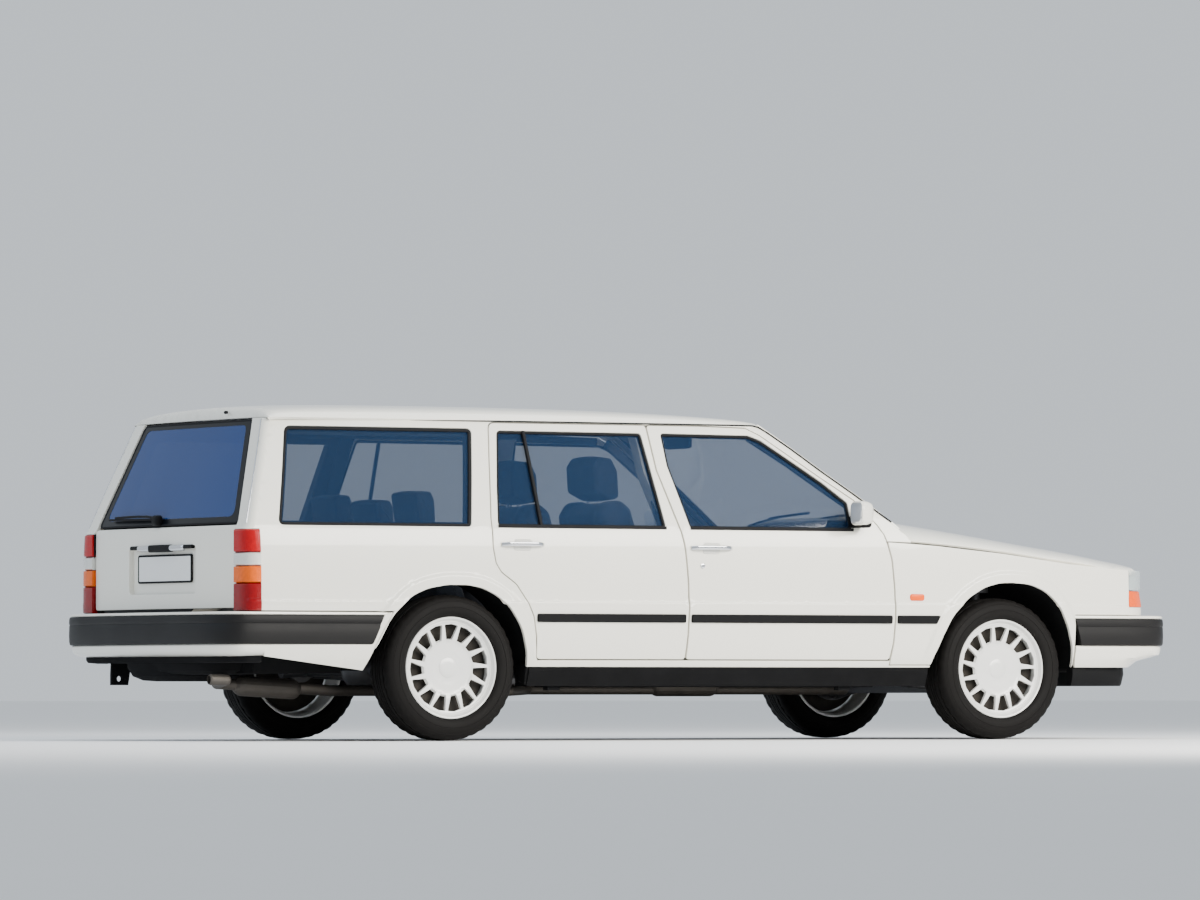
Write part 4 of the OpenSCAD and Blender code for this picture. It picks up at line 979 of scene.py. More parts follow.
# rear wiper
PW = gate_map(10)[0]
P, N = PW([70, 150, 260, 380, 490], [966, 972, 976, 976, 974])
bar("rear_wiper_arm", P + N * np.array([14, 14, 10, 8, 8])[:, None], 11, 10, 3, RUBBER, "tailgate", up=(0, 0, 1))
P, N = PW(np.linspace(110, 560, 8), np.linspace(962, 968, 8))
bar("rear_wiper_blade", P + N * 4, 12, 9, 3, RUBBER, "tailgate", up=(0, 0, 1))
P, N = PW([58], [956])
rbox("rear_wiper_pivot", P[0] + N[0] * 4, (34, 62, 46), 13, TRIM, "tailgate", n=6)

# ------------------------------------------------------------------ corner lamps
def rear_edge(off=0.0):
    """Plan line round the rear corner from the lamp's inner edge to its front edge, as points and outward normals (x, y)."""
    L = [(-985, 706), (-985.5, 750), (-984, 780), (-979, 802), (-970, 818), (-957, 829), (-940, 834.5), (-922, 836.5)]
    L = np.array(L, float)
    t = np.gradient(L, axis=0)
    n = unit(np.stack([-t[:, 1], t[:, 0]], 1))
    return L + off * n, n


for s, sd in ((1, "left"), (-1, "right")):
    L, n = rear_edge()
    for k, (z0, z1, m) in enumerate(((556, 672, RED_D), (675, 745, AMBER_R), (748, 803, CLEAR_R), (806, 902, RED))):
        zs = np.linspace(z0, z1, max(5, int((z1 - z0) / 8)) * 2 + 1)
        rings = []
        for i, z in enumerate(zs):
            yo = float(SEC(z)) - 862
            rib = (1.8 if i % 2 else 0.0) if 0 < i < len(zs) - 1 else -4.0
            lx = [(p[0] + q[0] * rib, s * (p[1] + q[1] * rib + yo * smooth(700, 830, p[1])), z) for p, q in zip(L, n)]
            bk = [(p[0] - q[0] * 26, s * (p[1] - q[1] * 26 + yo * smooth(700, 830, p[1])), z) for p, q in zip(L[::-1], n[::-1])]
            rings.append(lx + bk)
        loft(f"tail_lamp_{sd}_{k}", rings, m, "body", slot=("lamp_red", "lamp_amber", "lamp_clear", "lamp_red")[k], replaces=("tail_lamps",) if k == 0 else (), sharp=50)
    zs = (553, 560, 700, 896, 904)
    rings = [[(p[0] - q[0] * 8, s * (p[1] - q[1] * 8 + float(SEC(z)) - 862), z) for p, q in zip(L, n)] + [(p[0] - q[0] * 60, s * (p[1] - q[1] * 60), z) for p, q in zip(L[::-1], n[::-1])] for z in zs]
    loft(f"tail_lamp_body_{sd}", rings, RUBBER, "body")
    # bright edge down the rear pillar
    zz = np.linspace(930, 1378, 12)
    xs = gate_x(zz) + 2
    ys = YS(gate_x(zz) + CR, zz) - CR * 0.75
    bar("rear_pillar_bright_" + sd, np.stack([xs - 1.5, s * ys, zz], 1), 4, 7, 1.5, CHROME, "body", up=(0, 1, 0), slot="bright_trim")

# front lamps and grille, on the plan line of the nose
NOSE = np.array([(3636, 0), (3634, 120), (3630, 250), (3623, 380), (3613, 510), (3600, 610), (3584, 690), (3566, 735), (3540, 775), (3500, 808), (3470, 824), (3444, 834)], float)


def nose_run(y0, y1, x_min=3444, m=14):
    """Points and outward normals on the nose from y0, to y1 or x_min."""
    dd = []
    for a, b in zip(NOSE[:-1], NOSE[1:]):
        for k in range(24):
            dd.append(a + (b - a) * k / 24)
    dd = np.array(dd + [NOSE[-1]])
    ok = (dd[:, 1] >= y0) & (dd[:, 1] <= y1) & (dd[:, 0] >= x_min)
    dd = dd[ok]
    L = np.concatenate([[0], np.cumsum(np.linalg.norm(np.diff(dd, axis=0), axis=1))])
    q = np.linspace(0, L[-1], m)
    P = np.stack([np.interp(q, L, dd[:, 0]), np.interp(q, L, dd[:, 1])], 1)
    t = np.gradient(P, axis=0)
    return P, unit(np.stack([-t[:, 1], t[:, 0]], 1)) * -1 if False else unit(np.stack([np.abs(t[:, 1]), np.abs(t[:, 0])], 1))


def wrap(name, run, z0, z1, depth, material, s, body="body", ribs=0, off=0.0, edge=3.0, lean=0.0, **k):
    P, n = run
    zs = np.linspace(z0, z1, 2 * ribs + 1) if ribs else np.array([z0, z0 + edge, (z0 + z1) / 2, z1 - edge, z1])
    rings = []
    for i, z in enumerate(zs):
        o = off + (-edge if i in (0, len(zs) - 1) else (1.2 if (ribs and i % 2) else 0)) - lean * (z - z0) / (z1 - z0)
        f = [(p[0] + q[0] * o, s * (p[1] + q[1] * o), z) for p, q in zip(P, n)]
        b = [(p[0] - q[0] * depth, s * (p[1] - q[1] * depth), z) for p, q in zip(P[::-1], n[::-1])]
        rings.append(f + b)
    return loft(name, rings, material, body, sharp=45, **k)


for s, sd in ((1, "left"), (-1, "right")):
    main = nose_run(268, 634, m=12)
    wrap("headlamp_glass_" + sd, main, 594, 752, 5, LENS, s, lean=34, edge=2, slot="lamp_clear", replaces=("headlamps",))
    wrap("headlamp_bowl_" + sd, main, 596, 750, 60, REFL, s, off=-26, lean=32, ribs=6)
    wrap("headlamp_frame_" + sd, (np.array([main[0][0], main[0][0] + (0, 8)]), main[1][:2]), 592, 754, 40, RUBBER, s, lean=34)
    corner = nose_run(641, 900, m=14)
    wrap("corner_clear_" + sd, corner, 669, 756, 5, LENS, s, off=-12, lean=20, edge=2, slot="lamp_clear")
    wrap("corner_bowl_" + sd, corner, 671, 754, 30, REFL, s, off=-22, lean=19, ribs=5)
    wrap("corner_amber_" + sd, corner, 593, 665, 30, AMBER, s, lean=12, ribs=8, slot="lamp_amber", replaces=("front_indicators",))
    for k, y in enumerate((360, 540)):
        x = float(np.interp(y, NOSE[:, 1], NOSE[:, 0]))
        revolve(f"headlamp_bulb_{sd}_{k}", [(0.01, 12), (20, 8), (52, -6), (66, -22), (70, -23), (70, -26), (0.01, -26)], (x - 30, s * y, 676), 1, REFL, "body", seg=32, closed=False)
        bpy.data.objects[f"headlamp_bulb_{sd}_{k}"].data.transform(Matrix.Translation(((x - 30 + XM) / 1000, s * y / 1000, 0.676)) @ Matrix.Rotation(-math.pi / 2, 4, "Z") @ Matrix.Translation((-(x - 30 + XM) / 1000, -s * y / 1000, -0.676)))
rings = []
gr = [(3633, y) for y in (-262, 262)]
panel("grille_surround", rnd([(-264, 592), (264, 592), (264, 748), (-264, 748)], 10, 3), [rnd([(-248, 608), (248, 608), (248, 732), (-248, 732)], 6, 3)],
      num_map(lambda u, v: np.stack([3638 - (u / 264) ** 2 * 5 - (v - 592) * 0.20, u, v], 1), (1, 0, 0)), CHROME, "body", step=200, r=4, depth=20, slot="bright_trim", replaces=("grille",))
for i in range(-7, 8):
    bar(f"grille_bar_{i + 7}", [(3628 - (i * 32 / 264) ** 2 * 5, i * 32, 606), (3620 - (i * 32 / 264) ** 2 * 5, i * 32, 670), (3612 - (i * 32 / 264) ** 2 * 5, i * 32, 734)], 7, 24, 3, TRIM, "body", up=(0, 1, 0))
bar("grille_middle", [(3620, -248, 671), (3626, 0, 671), (3620, 248, 671)], 14, 9, 4, CHROME, "body", slot="bright_trim")
rbox("grille_back", (3592, 0, 670), (14, 520, 150), 4, RUBBER, "body", n=4)


# ------------------------------------------------------------------ bumpers
def sweep_plan(name, half, prof, material, body, x_end, m=70, cut=0.0, **k):
    """Sweeps a closed profile of (outward, z) along both halves of a plan line."""
    H = np.array(half, float)
    L = np.concatenate([[0], np.cumsum(np.linalg.norm(np.diff(H, axis=0), axis=1))])
    fx, fy = pchip(np.stack([L, H[:, 0]], 1)), pchip(np.stack([L, H[:, 1]], 1))
    q = np.linspace(0, L[-1], m)
    P = np.stack([fx(q), fy(q)], 1)
    t = np.gradient(P, axis=0)
    sx = 1 if H[0, 0] > 0 else -1
    n = unit(np.stack([sx * np.abs(t[:, 1]), np.abs(t[:, 0])], 1))
    n[0] = (sx, 0)
    span = max(z for _, z in prof) - min(z for _, z in prof)
    ok = P[:, 0] * sx >= (x_end + cut * span) * sx + 4
    P, n = P[ok], n[ok]
    P = np.concatenate([P, [(x_end, P[-1, 1])]])
    n = np.concatenate([n, n[-1:]])
    zt = max(z for _, z in prof)
    rings = []
    for p, q in list(zip(P, n))[::-1]:
        rings.append([(p[0] + q[0] * o, -(p[1] + q[1] * o), z) for o, z in prof])
    for p, q in list(zip(P, n))[1:]:
        rings.append([(p[0] + q[0] * o, p[1] + q[1] * o, z) for o, z in prof])
    for r in (0, -1):
        rings[r] = [(x + cut * (zt - z), y, z) for x, y, z in rings[r]]
    return loft(name, rings, material, body, sharp=40, **k)


def levels(name, rows, material, body, x_end, thick=34, m=60, **k):
    """A skin round the nose or tail through plan lines at several heights. rows holds (z, plan half line)."""
    rings = []
    for z, half in rows:
        H = np.array(half, float)
        L = np.concatenate([[0], np.cumsum(np.linalg.norm(np.diff(H, axis=0), axis=1))])
        q = np.linspace(0, L[-1], m)
        P = np.stack([pchip(np.stack([L, H[:, 0]], 1))(q), pchip(np.stack([L, H[:, 1]], 1))(q)], 1)
        t = np.gradient(P, axis=0)
        sx = 1 if H[0, 0] > 0 else -1
        n = unit(np.stack([sx * np.abs(t[:, 1]), np.abs(t[:, 0])], 1))
        B = P - n * thick
        a = np.concatenate([P[::-1] * (1, -1), P[1:]])
        b = np.concatenate([B[::-1] * (1, -1), B[1:]])
        rings.append([(x, y, z) for x, y in a] + [(x, y, z) for x, y in b[::-1]])
    return loft(name, rings, material, body, sharp=40, **k)


def inset(half, d):
    H = np.array(half, float)
    t = np.gradient(H, axis=0)
    sx = 1 if H[0, 0] > 0 else -1
    n = unit(np.stack([sx * np.abs(t[:, 1]), np.abs(t[:, 0])], 1))
    n[0] = (sx, 0)
    n[-1] = (0, 1)
    return H - n * d


FB = [(3755, 0), (3754, 120), (3750, 250), (3736, 480), (3712, 640), (3672, 750), (3600, 822), (3520, 842), (3440, 850), (3152, 858)]
RB = [(-1125, 0), (-1124, 120), (-1120, 300), (-1108, 560), (-1090, 700), (-1055, 790), (-1000, 836), (-930, 846), (-600, 850), (-300, 852)]
BAND = [(-10, 539), (-3, 538), (0, 531), (1, 516), (0, 506), (-2, 503), (0, 500), (1, 460), (0, 430), (-3, 421), (-9, 418), (-60, 418), (-60, 539)]
sweep_plan("front_bumper_band", FB, BAND, BUMPER, "body", 3143, cut=0.26, slot="bumper_plastic", replaces=("front_bumper",))
sweep_plan("front_bumper_top", FB, [(-8, 553), (-4, 550), (-3, 543), (-6, 540), (-80, 540), (-80, 553)], PAINT, "body", 3140, slot="painted_steel")
SK = [(3650, 0), (3648, 120), (3634, 400), (3572, 640), (3492, 760), (3412, 820), (3160, 826)]
FB2 = FB[:-1] + [(3150, 858)]
levels("front_bumper_lower", [(417, inset(FB2, 15)), (411, inset(FB2, 11)), (395, inset(FB2, 12)), (378, inset(FB2, 18)),
                              (364, [(3708, 0), (3706, 120), (3694, 340), (3670, 560), (3606, 730), (3520, 812), (3420, 834), (3150, 838)]),
                              (350, [(3672, 0), (3670, 120), (3658, 380), (3610, 600), (3530, 745), (3470, 800), (3400, 826), (3152, 832)]),
                              (334, [(3648, 0), (3646, 120), (3632, 400), (3574, 630), (3494, 755), (3450, 794), (3390, 816), (3156, 824)]),
                              (321, [(3632, 0), (3630, 120), (3616, 400), (3560, 625), (3482, 745), (3440, 785), (3380, 806), (3160, 816)])],
       PAINT, "body", 3150, slot="painted_steel")
sweep_plan("front_valance", [(3600, 0), (3598, 120), (3580, 400), (3520, 620), (3440, 760), (3160, 800)], [(0, 320), (2, 290), (-8, 245), (-14, 237), (-40, 237), (-40, 320)], TRIM, "body", 3160)
sweep_plan("nose_panel", [tuple(p) for p in NOSE], [(-6, 592), (-3, 590), (-2, 574), (-3, 556), (-60, 554), (-60, 592)], PAINT, "body", 3444, slot="painted_steel")
sweep_plan("rear_bumper_band", RB, BAND[:9] + [(-3, 417), (-9, 414), (-60, 414), (-60, 539)], BUMPER, "body", -333, cut=-0.46, slot="bumper_plastic", replaces=("rear_bumper",))
sweep_plan("rear_bumper_top", RB, [(-8, 552), (-4, 549), (-3, 543), (-6, 540), (-120, 540), (-120, 552)], PAINT, "body", -296, slot="painted_steel")
RB2 = RB[:-2] + [(-900, 847)]
levels("rear_bumper_lower", [(413, inset(RB2, 15)), (408, inset(RB2, 11)), (392, inset(RB2, 12)), (378, inset(RB2, 20)), (367, inset(RB2, 40)), (362, inset(RB2, 70))],
       PAINT, "body", -900, slot="painted_steel")
for s, sd in ((1, "left"), (-1, "right")):
    low = [(-899, 413), (-395, 413), (-337, 540), (-302, 552), (-296, 540), (-330, 490), (-378, 400), (-424, 302), (-899, 362)]
    panel("rear_side_lower_" + sd, rnd(low, 4, 2), [], side(s, 3.5, False), PAINT, "body", step=45, r=3, depth=22, slot="painted_steel")
# dark bar that closes the slot between the tailgate's lower edge and the bumper; its charcoal colour is painted shadow
# for that gap
rbox("rear_threshold", (-955, 0, 534), (130, 1400, 30), 8, TRIM, "body", n=14, slot="bumper_plastic")
# bowl of the spare wheel behind the rear panel
rings = []
for z, kx, ky in ((284, 0.55, 0.60), (288, 0.80, 0.82), (302, 0.93, 0.94), (330, 0.99, 0.99), (372, 1.0, 1.0)):
    rings.append([(-815 + 225 * kx * np.sign(math.cos(a)) * abs(math.cos(a)) ** 0.7, -75 + 470 * ky * np.sign(math.sin(a)) * abs(math.sin(a)) ** 0.7, z) for a in np.linspace(0, 2 * math.pi, 49)[:-1]])
loft("spare_bowl", rings, UNDER, "body", slot="underbody_steel")
rings = []
for z, kx, ky in ((256, 0.50, 0.55), (260, 0.72, 0.76), (278, 0.90, 0.91), (316, 0.99, 0.99), (372, 1.0, 1.0)):
    rings.append([(-815 + 225 * kx * np.sign(math.cos(a)) * abs(math.cos(a)) ** 0.7, 80 + 318 * ky * np.sign(math.sin(a)) * abs(math.sin(a)) ** 0.7, z) for a in np.linspace(0, 2 * math.pi, 49)[:-1]])
loft("spare_bowl_deep", rings, UNDER, "body", slot="underbody_steel")
sweep_plan("rear_skirt", [(-1052, 0), (-1050, 120), (-1032, 600), (-972, 780), (-900, 806)], [(0, 372), (0, 350), (-8, 338), (-50, 334), (-50, 372)], UNDER, "body", -900)

# ------------------------------------------------------------------ wheels
def wheel(body, cx, s, tyre_node, rim_node):
    yc = s * 735.0
    T = [(210, 70), (210.5, 78), (222, 80), (223, 88), (226, 92), (234, 97.5), (246, 101), (258, 101.2), (259, 99.6), (262, 99.6), (263, 101.2), (274, 100), (284, 96.5), (285, 95),
         (287, 95), (288, 95.6), (296, 91), (300, 88.5), (306, 82), (310.5, 74), (312.5, 64), (313.2, 52), (306, 51), (306, 45), (313.4, 44), (313.8, 22), (307, 21), (307, 15), (314, 14), (314, 3),
         (307, 2.5), (307, -2.5)]
    prof = T + [(r, -h) for r, h in T[::-1]][1:]
    o = revolve(body + "_tyre", prof, (cx, yc, 314), s, TYRE, body, seg=120, slot="tyre_rubber", replaces=(tyre_node,), sharp=28)
    # cross cuts in the shoulders
    me = o.data
    co = np.empty(len(me.vertices) * 3)
    me.vertices.foreach_get("co", co)
    co = co.reshape(-1, 3)
    dx, dz = co[:, 0] - (cx + XM) / 1000, co[:, 2] - 0.314
    r = np.hypot(dx, dz)
    a = np.round(np.arctan2(dz, dx) / (2 * math.pi / 120)).astype(int)
    cut = (r > 0.3040) & (r < 0.3137) & (np.abs(co[:, 1] - yc / 1000) > 0.050) & (a % 3 == 0)
    k = np.where(cut, (r - 0.0035) / r, 1.0)
    co[:, 0], co[:, 2] = (cx + XM) / 1000 + dx * k, 0.314 + dz * k
    me.vertices.foreach_set("co", co.ravel())
    me.update()
    # rim: barrel and flange turned, face with slots
    B = [(198, 60), (204, 72), (209, 80), (212, 86.5), (216, 88), (219.4, 86), (219.4, 80), (211, 77.5), (211, -77), (219, -80), (219, -86), (212, -86), (203, -74), (196, 40)]
    revolve(body + "_rim", B, (cx, yc, 314), s, ALLOY, body, seg=96, slot="wheel_alloy", replaces=(rim_node,))
    dish = pchip([(0, 55), (58, 55), (70, 56), (112, 59), (117, 62), (124, 64.5), (150, 66), (176, 66.5), (188, 67), (194, 69), (201, 74)])

    def fm(u, v):
        def p(u, v):
            rr = np.hypot(u, v)
            return np.stack([cx + u, yc + s * dish(rr), 314 + v], 1)
        return num_map(p, (0, s, 0))(u, v)
    ang = np.linspace(0, 2 * math.pi, 97)[:-1]
    outer = np.stack([200.5 * np.cos(ang), 200.5 * np.sin(ang)], 1)
    holes = []
    for i in range(15):
        a0 = 2 * math.pi * i / 15
        pts = []
        # in radius and angle, leaning along the way the wheel turns
        for rr, da, q in ((118, 0.010, 5), (150, 0.0, 0), (186, -0.005, 4), (188.5, 0.17, 0), (186, 0.345, 5), (150, 0.292, 0), (119, 0.225, 8)):
            pts.append((rr * math.cos(a0 + s * da), rr * math.sin(a0 + s * da), q))
        holes.append(rnd(pts, 6, 3))
    panel(body + "_face", outer, holes, fm, ALLOY, body, step=14, r=2.2, depth=15, slot="wheel_alloy")
    # dark disc behind the face: painted shade for the inside of the wheel seen through the slots
    revolve(body + "_inside", [(0.01, 22), (120, 24), (192, 28), (192, 22), (120, 18), (0.01, 16)], (cx, yc, 314), s, WHEEL_INNER_SHADE, body, seg=48, closed=False)
    # centre cap
    revolve(body + "_cap", [(44, 52), (44, 55.6), (42.5, 56.6), (20, 57.2), (0.01, 57.4)], (cx, yc, 314), s, ALLOY, body, seg=48, closed=False, slot="wheel_alloy")


for s, sd in ((1, "left"), (-1, "right")):
    wheel("wheel_rear_" + sd, 0, s, "tyre_rear_" + sd, "rim_rear_" + sd)
    wheel("wheel_front_" + sd, 2770, s, "tyre_front_" + sd, "rim_front_" + sd)


# ------------------------------------------------------------------ cabin
def cushion(name, pts, w, y, material, body="body", r=26, crown=12, chan=(), n_w=22, fill=0.6, side_roll=0.0, **k):
    """A padded block: side outline pts in x, z, width w round y. The sides are crowned, and grooves run across or along it. chan holds (kind, place, depth, width)."""
    P = dense(ccw(rnd(pts, r, 5)), 22)
    c = P.mean(0)
    N2 = grow(P, 1.0) - P
    rings = []
    us = np.concatenate([[-1, -0.985, -0.95, -0.9], np.linspace(-0.82, 0.82, n_w), [0.9, 0.95, 0.985, 1]])
    for u in us:
        q = P.copy()
        e = 1 - (1 - math.sqrt(max(0.0, 1 - max(0, (abs(u) - 0.86) / 0.14) ** 2))) * 1.0
        inset = r * 0.9 * (1 - e)
        bulge = crown * (1 - abs(u) ** 2.4)
        if side_roll:
            bulge += side_roll * smooth(0.5, 0.72, abs(u)) * smooth(1.0, 0.84, abs(u))
        for kind, pos, dep, wid in chan:
            if kind == "long":
                bulge -= dep * math.exp(-((u - pos) / wid) ** 2)
        q = q + N2 * (bulge - inset)
        for kind, place, dep, wid in chan:
            if kind == "cross":
                ax, az = place
                d = np.hypot(P[:, 0] - ax, P[:, 1] - az)
                q = q - N2 * (dep * np.exp(-(d / wid) ** 2) * (1 if abs(u) < 0.56 else 0.25))[:, None]
        rings.append(np.stack([q[:, 0], np.full(len(q), y + u * w / 2), q[:, 1]], 1))
    o = loft(name, rings, material, body, sharp=60, **k)
    return o


for s, sd in ((1, "left"), (-1, "right")):
    y = s * 375
    X = 1090
    long_ch = [("long", p, 7, 0.035) for p in (-0.56, 0.56)]
    cushion("front_cushion_" + sd, [(X + 70, 352), (X + 470, 350), (X + 515, 376), (X + 512, 430), (X + 470, 466), (X + 240, 440), (X + 60, 430)], 440, y, CLOTH,
            chan=long_ch + [("cross", (X + p, 455), 6, 14) for p in (150, 240, 330, 410)], side_roll=12, slot="seat_cloth", replaces=("front_seats",))
    cushion("front_back_" + sd, [(X + 4, 428), (X + 82, 446), (X + 40, 640), (X - 84, 1006), (X - 118, 1030), (X - 178, 1026), (X - 206, 984), (X - 190, 900), (X - 60, 470)], 436, y, CLOTH,
            chan=long_ch + [("cross", (X + 62 - p * 0.30, 500 + p), 6, 15) for p in (20, 110, 200, 290, 380, 460)], side_roll=14, slot="seat_cloth")
    cushion("front_headrest_" + sd, [(948, 1056), (1000, 1062), (992, 1180), (962, 1234), (900, 1240), (872, 1200), (880, 1090)], 270, y, CLOTH2, r=24, crown=8, n_w=12,
            chan=[("long", p, 4, 0.05) for p in (-0.62, 0.62)], fill=0.75, slot="seat_cloth")
    for d in (-50, 50):
        bar(f"front_headrest_post_{sd}_{d + 50}", [(928, y + d, 1000), (938, y + d, 1030), (944, y + d, 1072)], 11, 11, 5, CHROME, "body", up=(0, 1, 0))
    rbox("front_seat_base_" + sd, (X + 250, y, 305), (440, 380, 84), 14, CABIN, "body", n=8, slot="cabin_plastic")
    rbox("front_seat_side_" + sd, (X + 210, y + s * 226, 372), (420, 20, 84), 10, CABIN, "body", n=8, slot="cabin_plastic")
    # belt from the pillar
    P, N = side(s, -62, False)([1075, 1078, 1082, 1090], [1240, 1000, 760, 500])
    bar("belt_" + sd, P, 44, 3, 1, RUBBER, "body", up=(0, 1, 0))
cushion("rear_cushion", [(120, 412), (640, 410), (668, 470), (640, 520), (560, 528), (330, 502), (120, 498)], 1150, 0, CLOTH, crown=8, n_w=46,
        chan=[("long", p, 9, 0.012) for p in (-0.36, 0.36)] + [("long", p, 6, 0.012) for p in (-0.72, 0.72)] + [("cross", (p, 520), 6, 14) for p in (380, 470, 560)], slot="seat_cloth", replaces=("rear_seat",))
cushion("rear_back", [(70, 520), (222, 500), (236, 560), (110, 905), (84, 930), (14, 930), (-6, 900)], 1150, 0, CLOTH, crown=7, n_w=46,
        chan=[("long", p, 9, 0.012) for p in (-0.36, 0.36)] + [("long", p, 6, 0.012) for p in (-0.72, 0.72)] + [("cross", (232 - p * 0.35, 540 + p), 6, 15) for p in (60, 150, 240, 320)], slot="seat_cloth")
for k, (y, h) in enumerate(((-390, 148), (0, 118), (390, 148))):
    cushion(f"rear_headrest_{k}", [(12, 934), (86, 936), (80, 936 + h * 0.7), (64, 930 + h), (6, 930 + h), (-8, 920 + h)], 260, y, CLOTH2, r=20, crown=6, n_w=12,
            chan=[("long", p, 4, 0.05) for p in (-0.62, 0.62)], fill=0.75, slot="seat_cloth")
# dashboard: a moulded body with a hood over the instruments, vents and a middle panel
rings = []
for y in np.linspace(-735, 735, 40):
    e = smooth(735, 690, abs(y))
    h = 26 * smooth(190, 140, abs(y - 370)) * smooth(0, 1, 1)
    rings.append([(x, y, z) for x, z in rnd([(1900 + 12 * (1 - e), 566), (2288, 566), (2288, 874), (2186, 874), (2100, 896 * 1.0 + 0.0), (1962 - h * 0.3, 884 + h), (1884 - h * 0.5, 822 + h * 0.6), (1856 + 8 * (1 - e), 700)], 26, 3)])
loft("dash_body", rings, CABIN, "body", sharp=40, slot="cabin_plastic", replaces=("dashboard",))
for k, y in enumerate((-600, -90, 90, 610)):
    rbox(f"vent_{k}", (1886, y, 800), (20, 110, 46), 8, RUBBER, "body", n=6, rot=rot_y(-14))
    for j in range(5):
        rbox(f"vent_{k}_{j}", (1876, y, 784 + j * 8), (6, 98, 2.4), 1, CABIN_G, "body", n=2, rot=rot_y(-14))
rbox("middle_panel", (1868, 0, 690), (26, 210, 150), 10, CABIN_G, "body", n=8, rot=rot_y(-10), slot="cabin_plastic")
for j, z in enumerate((650, 690, 735)):
    rbox(f"middle_knob_{j}", (1850, 52, z), (14, 30, 22), 7, RUBBER, "body", n=4)
    rbox(f"middle_slot_{j}", (1851, -34, z), (8, 96, 24), 3, RUBBER, "body", n=4)
rbox("console", (1640, 0, 430), (600, 176, 130), 28, CABIN, "body", n=10, slot="cabin_plastic")
bar("gear_lever", [(1700, 0, 480), (1690, 0, 540), (1676, 0, 590)], 16, 16, 7, RUBBER, "body", up=(0, 1, 0))
rbox("gear_knob", (1672, 0, 606), (46, 46, 54), 22, CABIN, "body", n=6)
# steering wheel, on its column
WY, WC = 360.0, np.array([1730.0, 360.0, 800.0])
wa = math.radians(25)
ax = np.array([math.cos(wa), 0, -math.sin(wa)])       # column direction, forward and down
e1, e2 = np.array([0, 1.0, 0]), np.array([math.sin(wa), 0, math.cos(wa)])
rings = []
for i in range(61):
    a = 2 * math.pi * i / 60
    d = math.cos(a) * e1 + math.sin(a) * e2
    rings.append([WC + d * (186 + 13 * math.cos(b)) + ax * 13 * math.sin(b) for b in np.linspace(0, 2 * math.pi, 13)[:-1]])
loft("wheel_rim_hand", rings, CABIN, "body", caps=False, slot="cabin_plastic", replaces=("steering_wheel",))
for k, a in enumerate((math.radians(8), math.radians(172), math.radians(262), math.radians(278))):
    d = math.cos(a) * e1 + math.sin(a) * e2
    bar(f"wheel_spoke_{k}", [WC + ax * 26 + d * 30, WC + ax * 20 + d * 100, WC + d * 180], 34, 12, 5, CABIN, "body", up=tuple(ax))
rbox("wheel_pad", WC + ax * 18, (44, 190, 130), 20, CABIN, "body", n=8, rot=rot_y(25), slot="cabin_plastic", crown=(8, 0, 0))
bar("wheel_column", [WC + ax * 20, WC + ax * 90, WC + ax * 165], 56, 60, 20, CABIN, "body", up=(0, 1, 0))
# mirror over the windscreen
rbox("inside_mirror", (1590, 20, 1330), (26, 230, 62), 14, RUBBER, "body", n=8)
bar("inside_mirror_stem", [(1594, 20, 1350), (1604, 20, 1372), (1606, 20, 1392)], 16, 16, 6, RUBBER, "body", up=(0, 1, 0))
for s, sd in ((1, "left"), (-1, "right")):
    P = np.array([1560, s * 330, 1368.0])
    rbox("visor_" + sd, P, (120, 380, 16), 7, HEADLINER, "body", n=8, rot=rot_y(24))
    # side trims inside the pillars
    Pq, N = side(s, -48, False)([232, 205, 190, 188], [1368, 1150, 960, 760])
    bar("rear_pillar_trim_" + sd, Pq, 70, 26, 8, CABIN_G, "body", up=(0, 1, 0), slot="cabin_plastic")
    Pq, N = side(s, -56, False)([1045, 1062, 1085, 1096, 1100], [1370, 1150, 960, 760, 420])
    bar("middle_pillar_trim_" + sd, Pq, 90, 26, 8, CABIN_G, "body", up=(0, 1, 0), slot="cabin_plastic")
    Pq, N = side(s, -52, False)([-760, -200, 400, 1000, 1500], [1372, 1376, 1378, 1378, 1366])
    bar("cant_rail_trim_" + sd, Pq, 46, 34, 12, CABIN_G, "body", up=(0, 0, 1), slot="cabin_plastic")
    Pq, N = side(s, -40, False)([1570, 1747, 1880, 2028, 2160], [1352, 1238, 1144, 1042, 952])
    bar("screen_pillar_trim_" + sd, Pq, 44, 24, 8, CABIN_G, "body", up=(0, 1, 0), slot="cabin_plastic")
# carpets
panel("load_carpet", rnd([(-890, -690), (-420, -690), (-390, -585), (20, -585), (20, 585), (-390, 585), (-420, 690), (-890, 690)], 20, 3), [],
      height_map(lambda x, y: 526 + 0 * x), CARPET, "body", step=90, r=3, depth=5)
for s, sd in ((1, "left"), (-1, "right")):
    panel("floor_carpet_" + sd, rnd([(700, s * 150), (2110, s * 150), (2110, s * 735), (700, s * 735)], 20, 3), [], height_map(lambda x, y: 272 + 0 * x), CARPET, "body", step=90, r=3, depth=7)
    a = np.linspace(0.10, math.pi - 0.10, 18)
    rings = [[(408 * math.cos(t), s * y, 314 + 408 * math.sin(t)) for t in a] + [(400 * math.cos(t), s * y, 314 + 400 * math.sin(t)) for t in a[::-1]] for y in (588, 660, 740, 800)]
    loft("wheelhouse_cover_" + sd, rings, CARPET, "body", sharp=50)
# ------------------------------------------------------------------ engine bay
def lathe(name, prof, c, axis, material, body, seg=40, **k):
    a = np.array(axis, float)
    e1 = np.cross(a, (0.3, 0.9, 0.1))
    e1 /= np.linalg.norm(e1)
    e2 = np.cross(a, e1)
    rings = [[np.array(c, float) + a * h + r * (math.cos(t) * e1 + math.sin(t) * e2) for t in np.linspace(0, 2 * math.pi, seg + 1)[:-1]] for r, h in prof]
    return loft(name, rings, material, body, **k)


